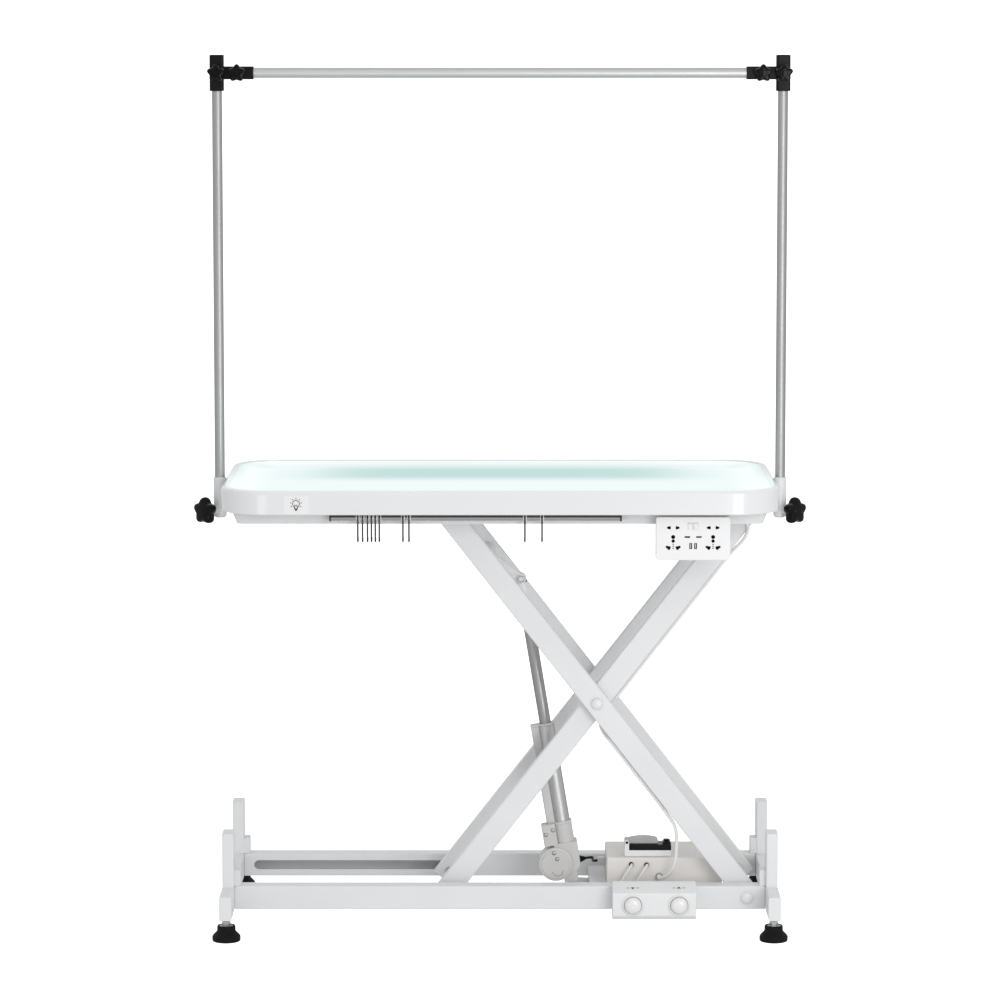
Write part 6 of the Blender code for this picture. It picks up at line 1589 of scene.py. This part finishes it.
def button(x):
    """A dome: a straight skirt, then a quarter ellipse to a nearly flat crown."""
    turn = np.linspace(0.0, np.pi / 2 * 0.96, 16)
    crown = np.stack([BUTTON_RADIUS * np.cos(turn) ** 0.7, SKIRT_HIGH + CROWN * np.sin(turn)], axis=-1)
    return turned(np.vstack([((BUTTON_RADIUS, SKIRT_LOW),), crown]), (x, 0.0, BUTTON_Z), FORWARD, 72)


SLOPE_FOOT, SLOPE_HEAD = np.array((PEDAL_FRONT, PEDAL_BROW)), np.array((PEDAL_LEDGE, PEDAL_HIGH))


def on_slope(points, x, lift):
    """Flat (across, up) points laid on the sloped top; lift is how far they stand off it."""
    way = unit(SLOPE_HEAD - SLOPE_FOOT)
    out = np.array((-way[1], way[0]))
    place = (SLOPE_FOOT + SLOPE_HEAD) / 2 + points[:, 1:] * way + lift * out
    return np.column_stack([x + points[:, 0], place])


def arrow(x, way):
    """A small arrow between two strokes, as thin plates on the slope."""
    head = np.array(((-0.0046, -0.0020), (0.0046, -0.0020), (0.0, 0.0050))) * (1, way)
    strokes = [rounded_loop(0.0070, 0.0016, 0.0006, 2) + (side * 0.0108, 0.0) for side in (-1, 1)]
    plates = []
    for shape in (head, *strokes):
        plates.append(skin(np.stack([on_slope(shape, x, PRINT_UNDER), on_slope(shape, x, PRINT_OVER)])))
    return plates


trim = []
for node, (x, way) in BUTTONS.items():
    trim.append(("white plastic", bezel(x)))
    trim += [("print grey", plate) for plate in arrow(x, way)]
    add_piece(node + "_dome", [("button white", button(x))], node, "white_plastic", node)
add_piece("pedal_box_trim", trim, "base", "white_plastic")
print("foot control buttons:", len(BUTTONS))

# %% [markdown]
# The steelwork is what the solids already are: square tubes, plates and a folded pan. So those nodes stay,
# and get white powder paint. Their meshes are left alone; a Weld and a Bevel modifier soften their edges,
# as paint does. The end beams are open tubes at the back, so a moulded plug closes each.

# %% Painted steelwork
PAINTED = (
    "end_frame_left", "end_frame_right", "base_rail_front", "base_rail_rear", "actuator_beam", "arm_a_front",
    "arm_a_rear", "arm_b_front", "arm_b_rear", "under_pan", "top_track_front", "top_track_rear",
)
PAINT_EDGE, SMALL_EDGE, MERGE = 0.0008, 0.0004, 0.00002
OTHER_NODES = {"rocker_left": "outlet white", "rocker_right": "outlet white", "led_strip": "film white"}


def dress(node, finish, width):
    """A finish, merged triangles and a small bevel on a node, whose mesh stays as it is."""
    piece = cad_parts[node]
    piece.data.materials.clear()
    piece.data.materials.append(finishes[finish])
    weld = piece.modifiers.new("merge", "WELD")
    weld.merge_threshold = MERGE
    add_bevel(piece, width, 2)


for node in PAINTED:
    dress(node, "white paint", PAINT_EDGE)
for node, finish in OTHER_NODES.items():
    dress(node, finish, SMALL_EDGE)
BEAM_WIDTH, BEAM_WALL, PLUG_DEPTH = 0.028, 0.003, 0.012
beam_top = span("base_rail_rear")[1][2]
for side, end in ENDS:
    low, high = span(f"end_frame_{end}")
    outer = side * max(abs(low[0]), abs(high[0]))
    left, right = sorted((outer - side * BEAM_WALL, outer - side * (BEAM_WIDTH - BEAM_WALL)))
    low = (left, high[1] - PLUG_DEPTH, low[2] + BEAM_WALL)
    plug = block(low, (right, high[1] - 0.0004, beam_top - BEAM_WALL), 0.001, 0.0008, "Y", 4)
    add_piece(f"beam_plug_{end}", [("white plastic", plug)], "base", "white_plastic")
print("painted nodes:", len(PAINTED))

# %% [markdown]
# The photograph is a studio picture on white. Light falls from above and in front, and the right side gets
# more than the left. A pale sky and three lamps give the same: a large soft box overhead, a tall one at the
# right and a low strip at the left. The last two are the pale stripes on the rim's rounded corners. The
# floor melts into the backdrop there, so it gives off enough light of its own to look pure white, but
# throws much less of it up at the table.

# %% Studio
def add_lamp(name, place, aim, size, power):
    """A soft box that faces its aim: tilted by the angle down to it, and turned by the angle round to it."""
    lamp_data = bpy.data.lights.new(name, "AREA")
    lamp_data.shape = "RECTANGLE"
    lamp_data.size, lamp_data.size_y = size
    lamp_data.energy = power
    lamp = bpy.data.objects.new(name, lamp_data)
    lamp.location = place
    across, ahead, up = np.array(aim) - np.array(place)
    lamp.rotation_euler = (math.atan2(math.hypot(across, ahead), -up), 0.0, math.atan2(-across, ahead))
    lamp.visible_camera = False
    scene.collection.objects.link(lamp)


SKY_THROW, SKY_SEEN = 0.80, 1.05
add_lamp("overhead softbox", (0.3, -3.4, 4.8), (0.0, 0.0, 0.7), (4.0, 2.4), 7.0)
add_lamp("left strip", (-1.65, -3.9, 0.55), (-0.2, 0.0, 0.9), (1.3, 0.5), 4.5)
add_lamp("right softbox", (1.65, -3.9, 1.25), (0.2, 0.0, 1.0), (1.75, 2.5), 53.0)
world = bpy.data.worlds.new("studio")
world.use_nodes = True
backdrop = world.node_tree.nodes["Background"]
backdrop.inputs["Color"].default_value = (1.0, 1.0, 1.0, 1.0)
in_view = world.node_tree.nodes.new("ShaderNodeLightPath").outputs["Is Camera Ray"]
glow = spread(world.node_tree, in_view, 0.0, 1.0, SKY_THROW, SKY_SEEN)
world.node_tree.links.new(glow, backdrop.inputs["Strength"])
scene.world = world
print("lamps:", len(bpy.data.lights))

# %% Floor
FLOOR_HALF = 1500.0
FLOOR_THROW, FLOOR_SEEN = 0.27, 1.05
floor_tree, floor_shader, _ = new_material("studio floor", {"Roughness": 0.9, "Emission Strength": 1.0})
floor_shader.inputs["Base Color"].default_value = (0.5, 0.5, 0.5, 1.0)
seen = floor_tree.nodes.new("ShaderNodeLightPath").outputs["Is Camera Ray"]
shine = spread(floor_tree, seen, 0.0, 1.0, FLOOR_THROW, FLOOR_SEEN)
floor_tree.links.new(shine, floor_shader.inputs["Emission Color"])
corners = np.array(((-1, -1, 0), (1, -1, 0), (1, 1, 0), (-1, 1, 0)), float) * FLOOR_HALF
floor_mesh = bpy.data.meshes.new("floor")
floor_mesh.from_pydata(corners.tolist(), [], [(0, 1, 2, 3)])
floor_mesh.materials.append(finishes["studio floor"])
floor = add_object("floor", floor_mesh)
print("floor reaches", FLOOR_HALF, "m")
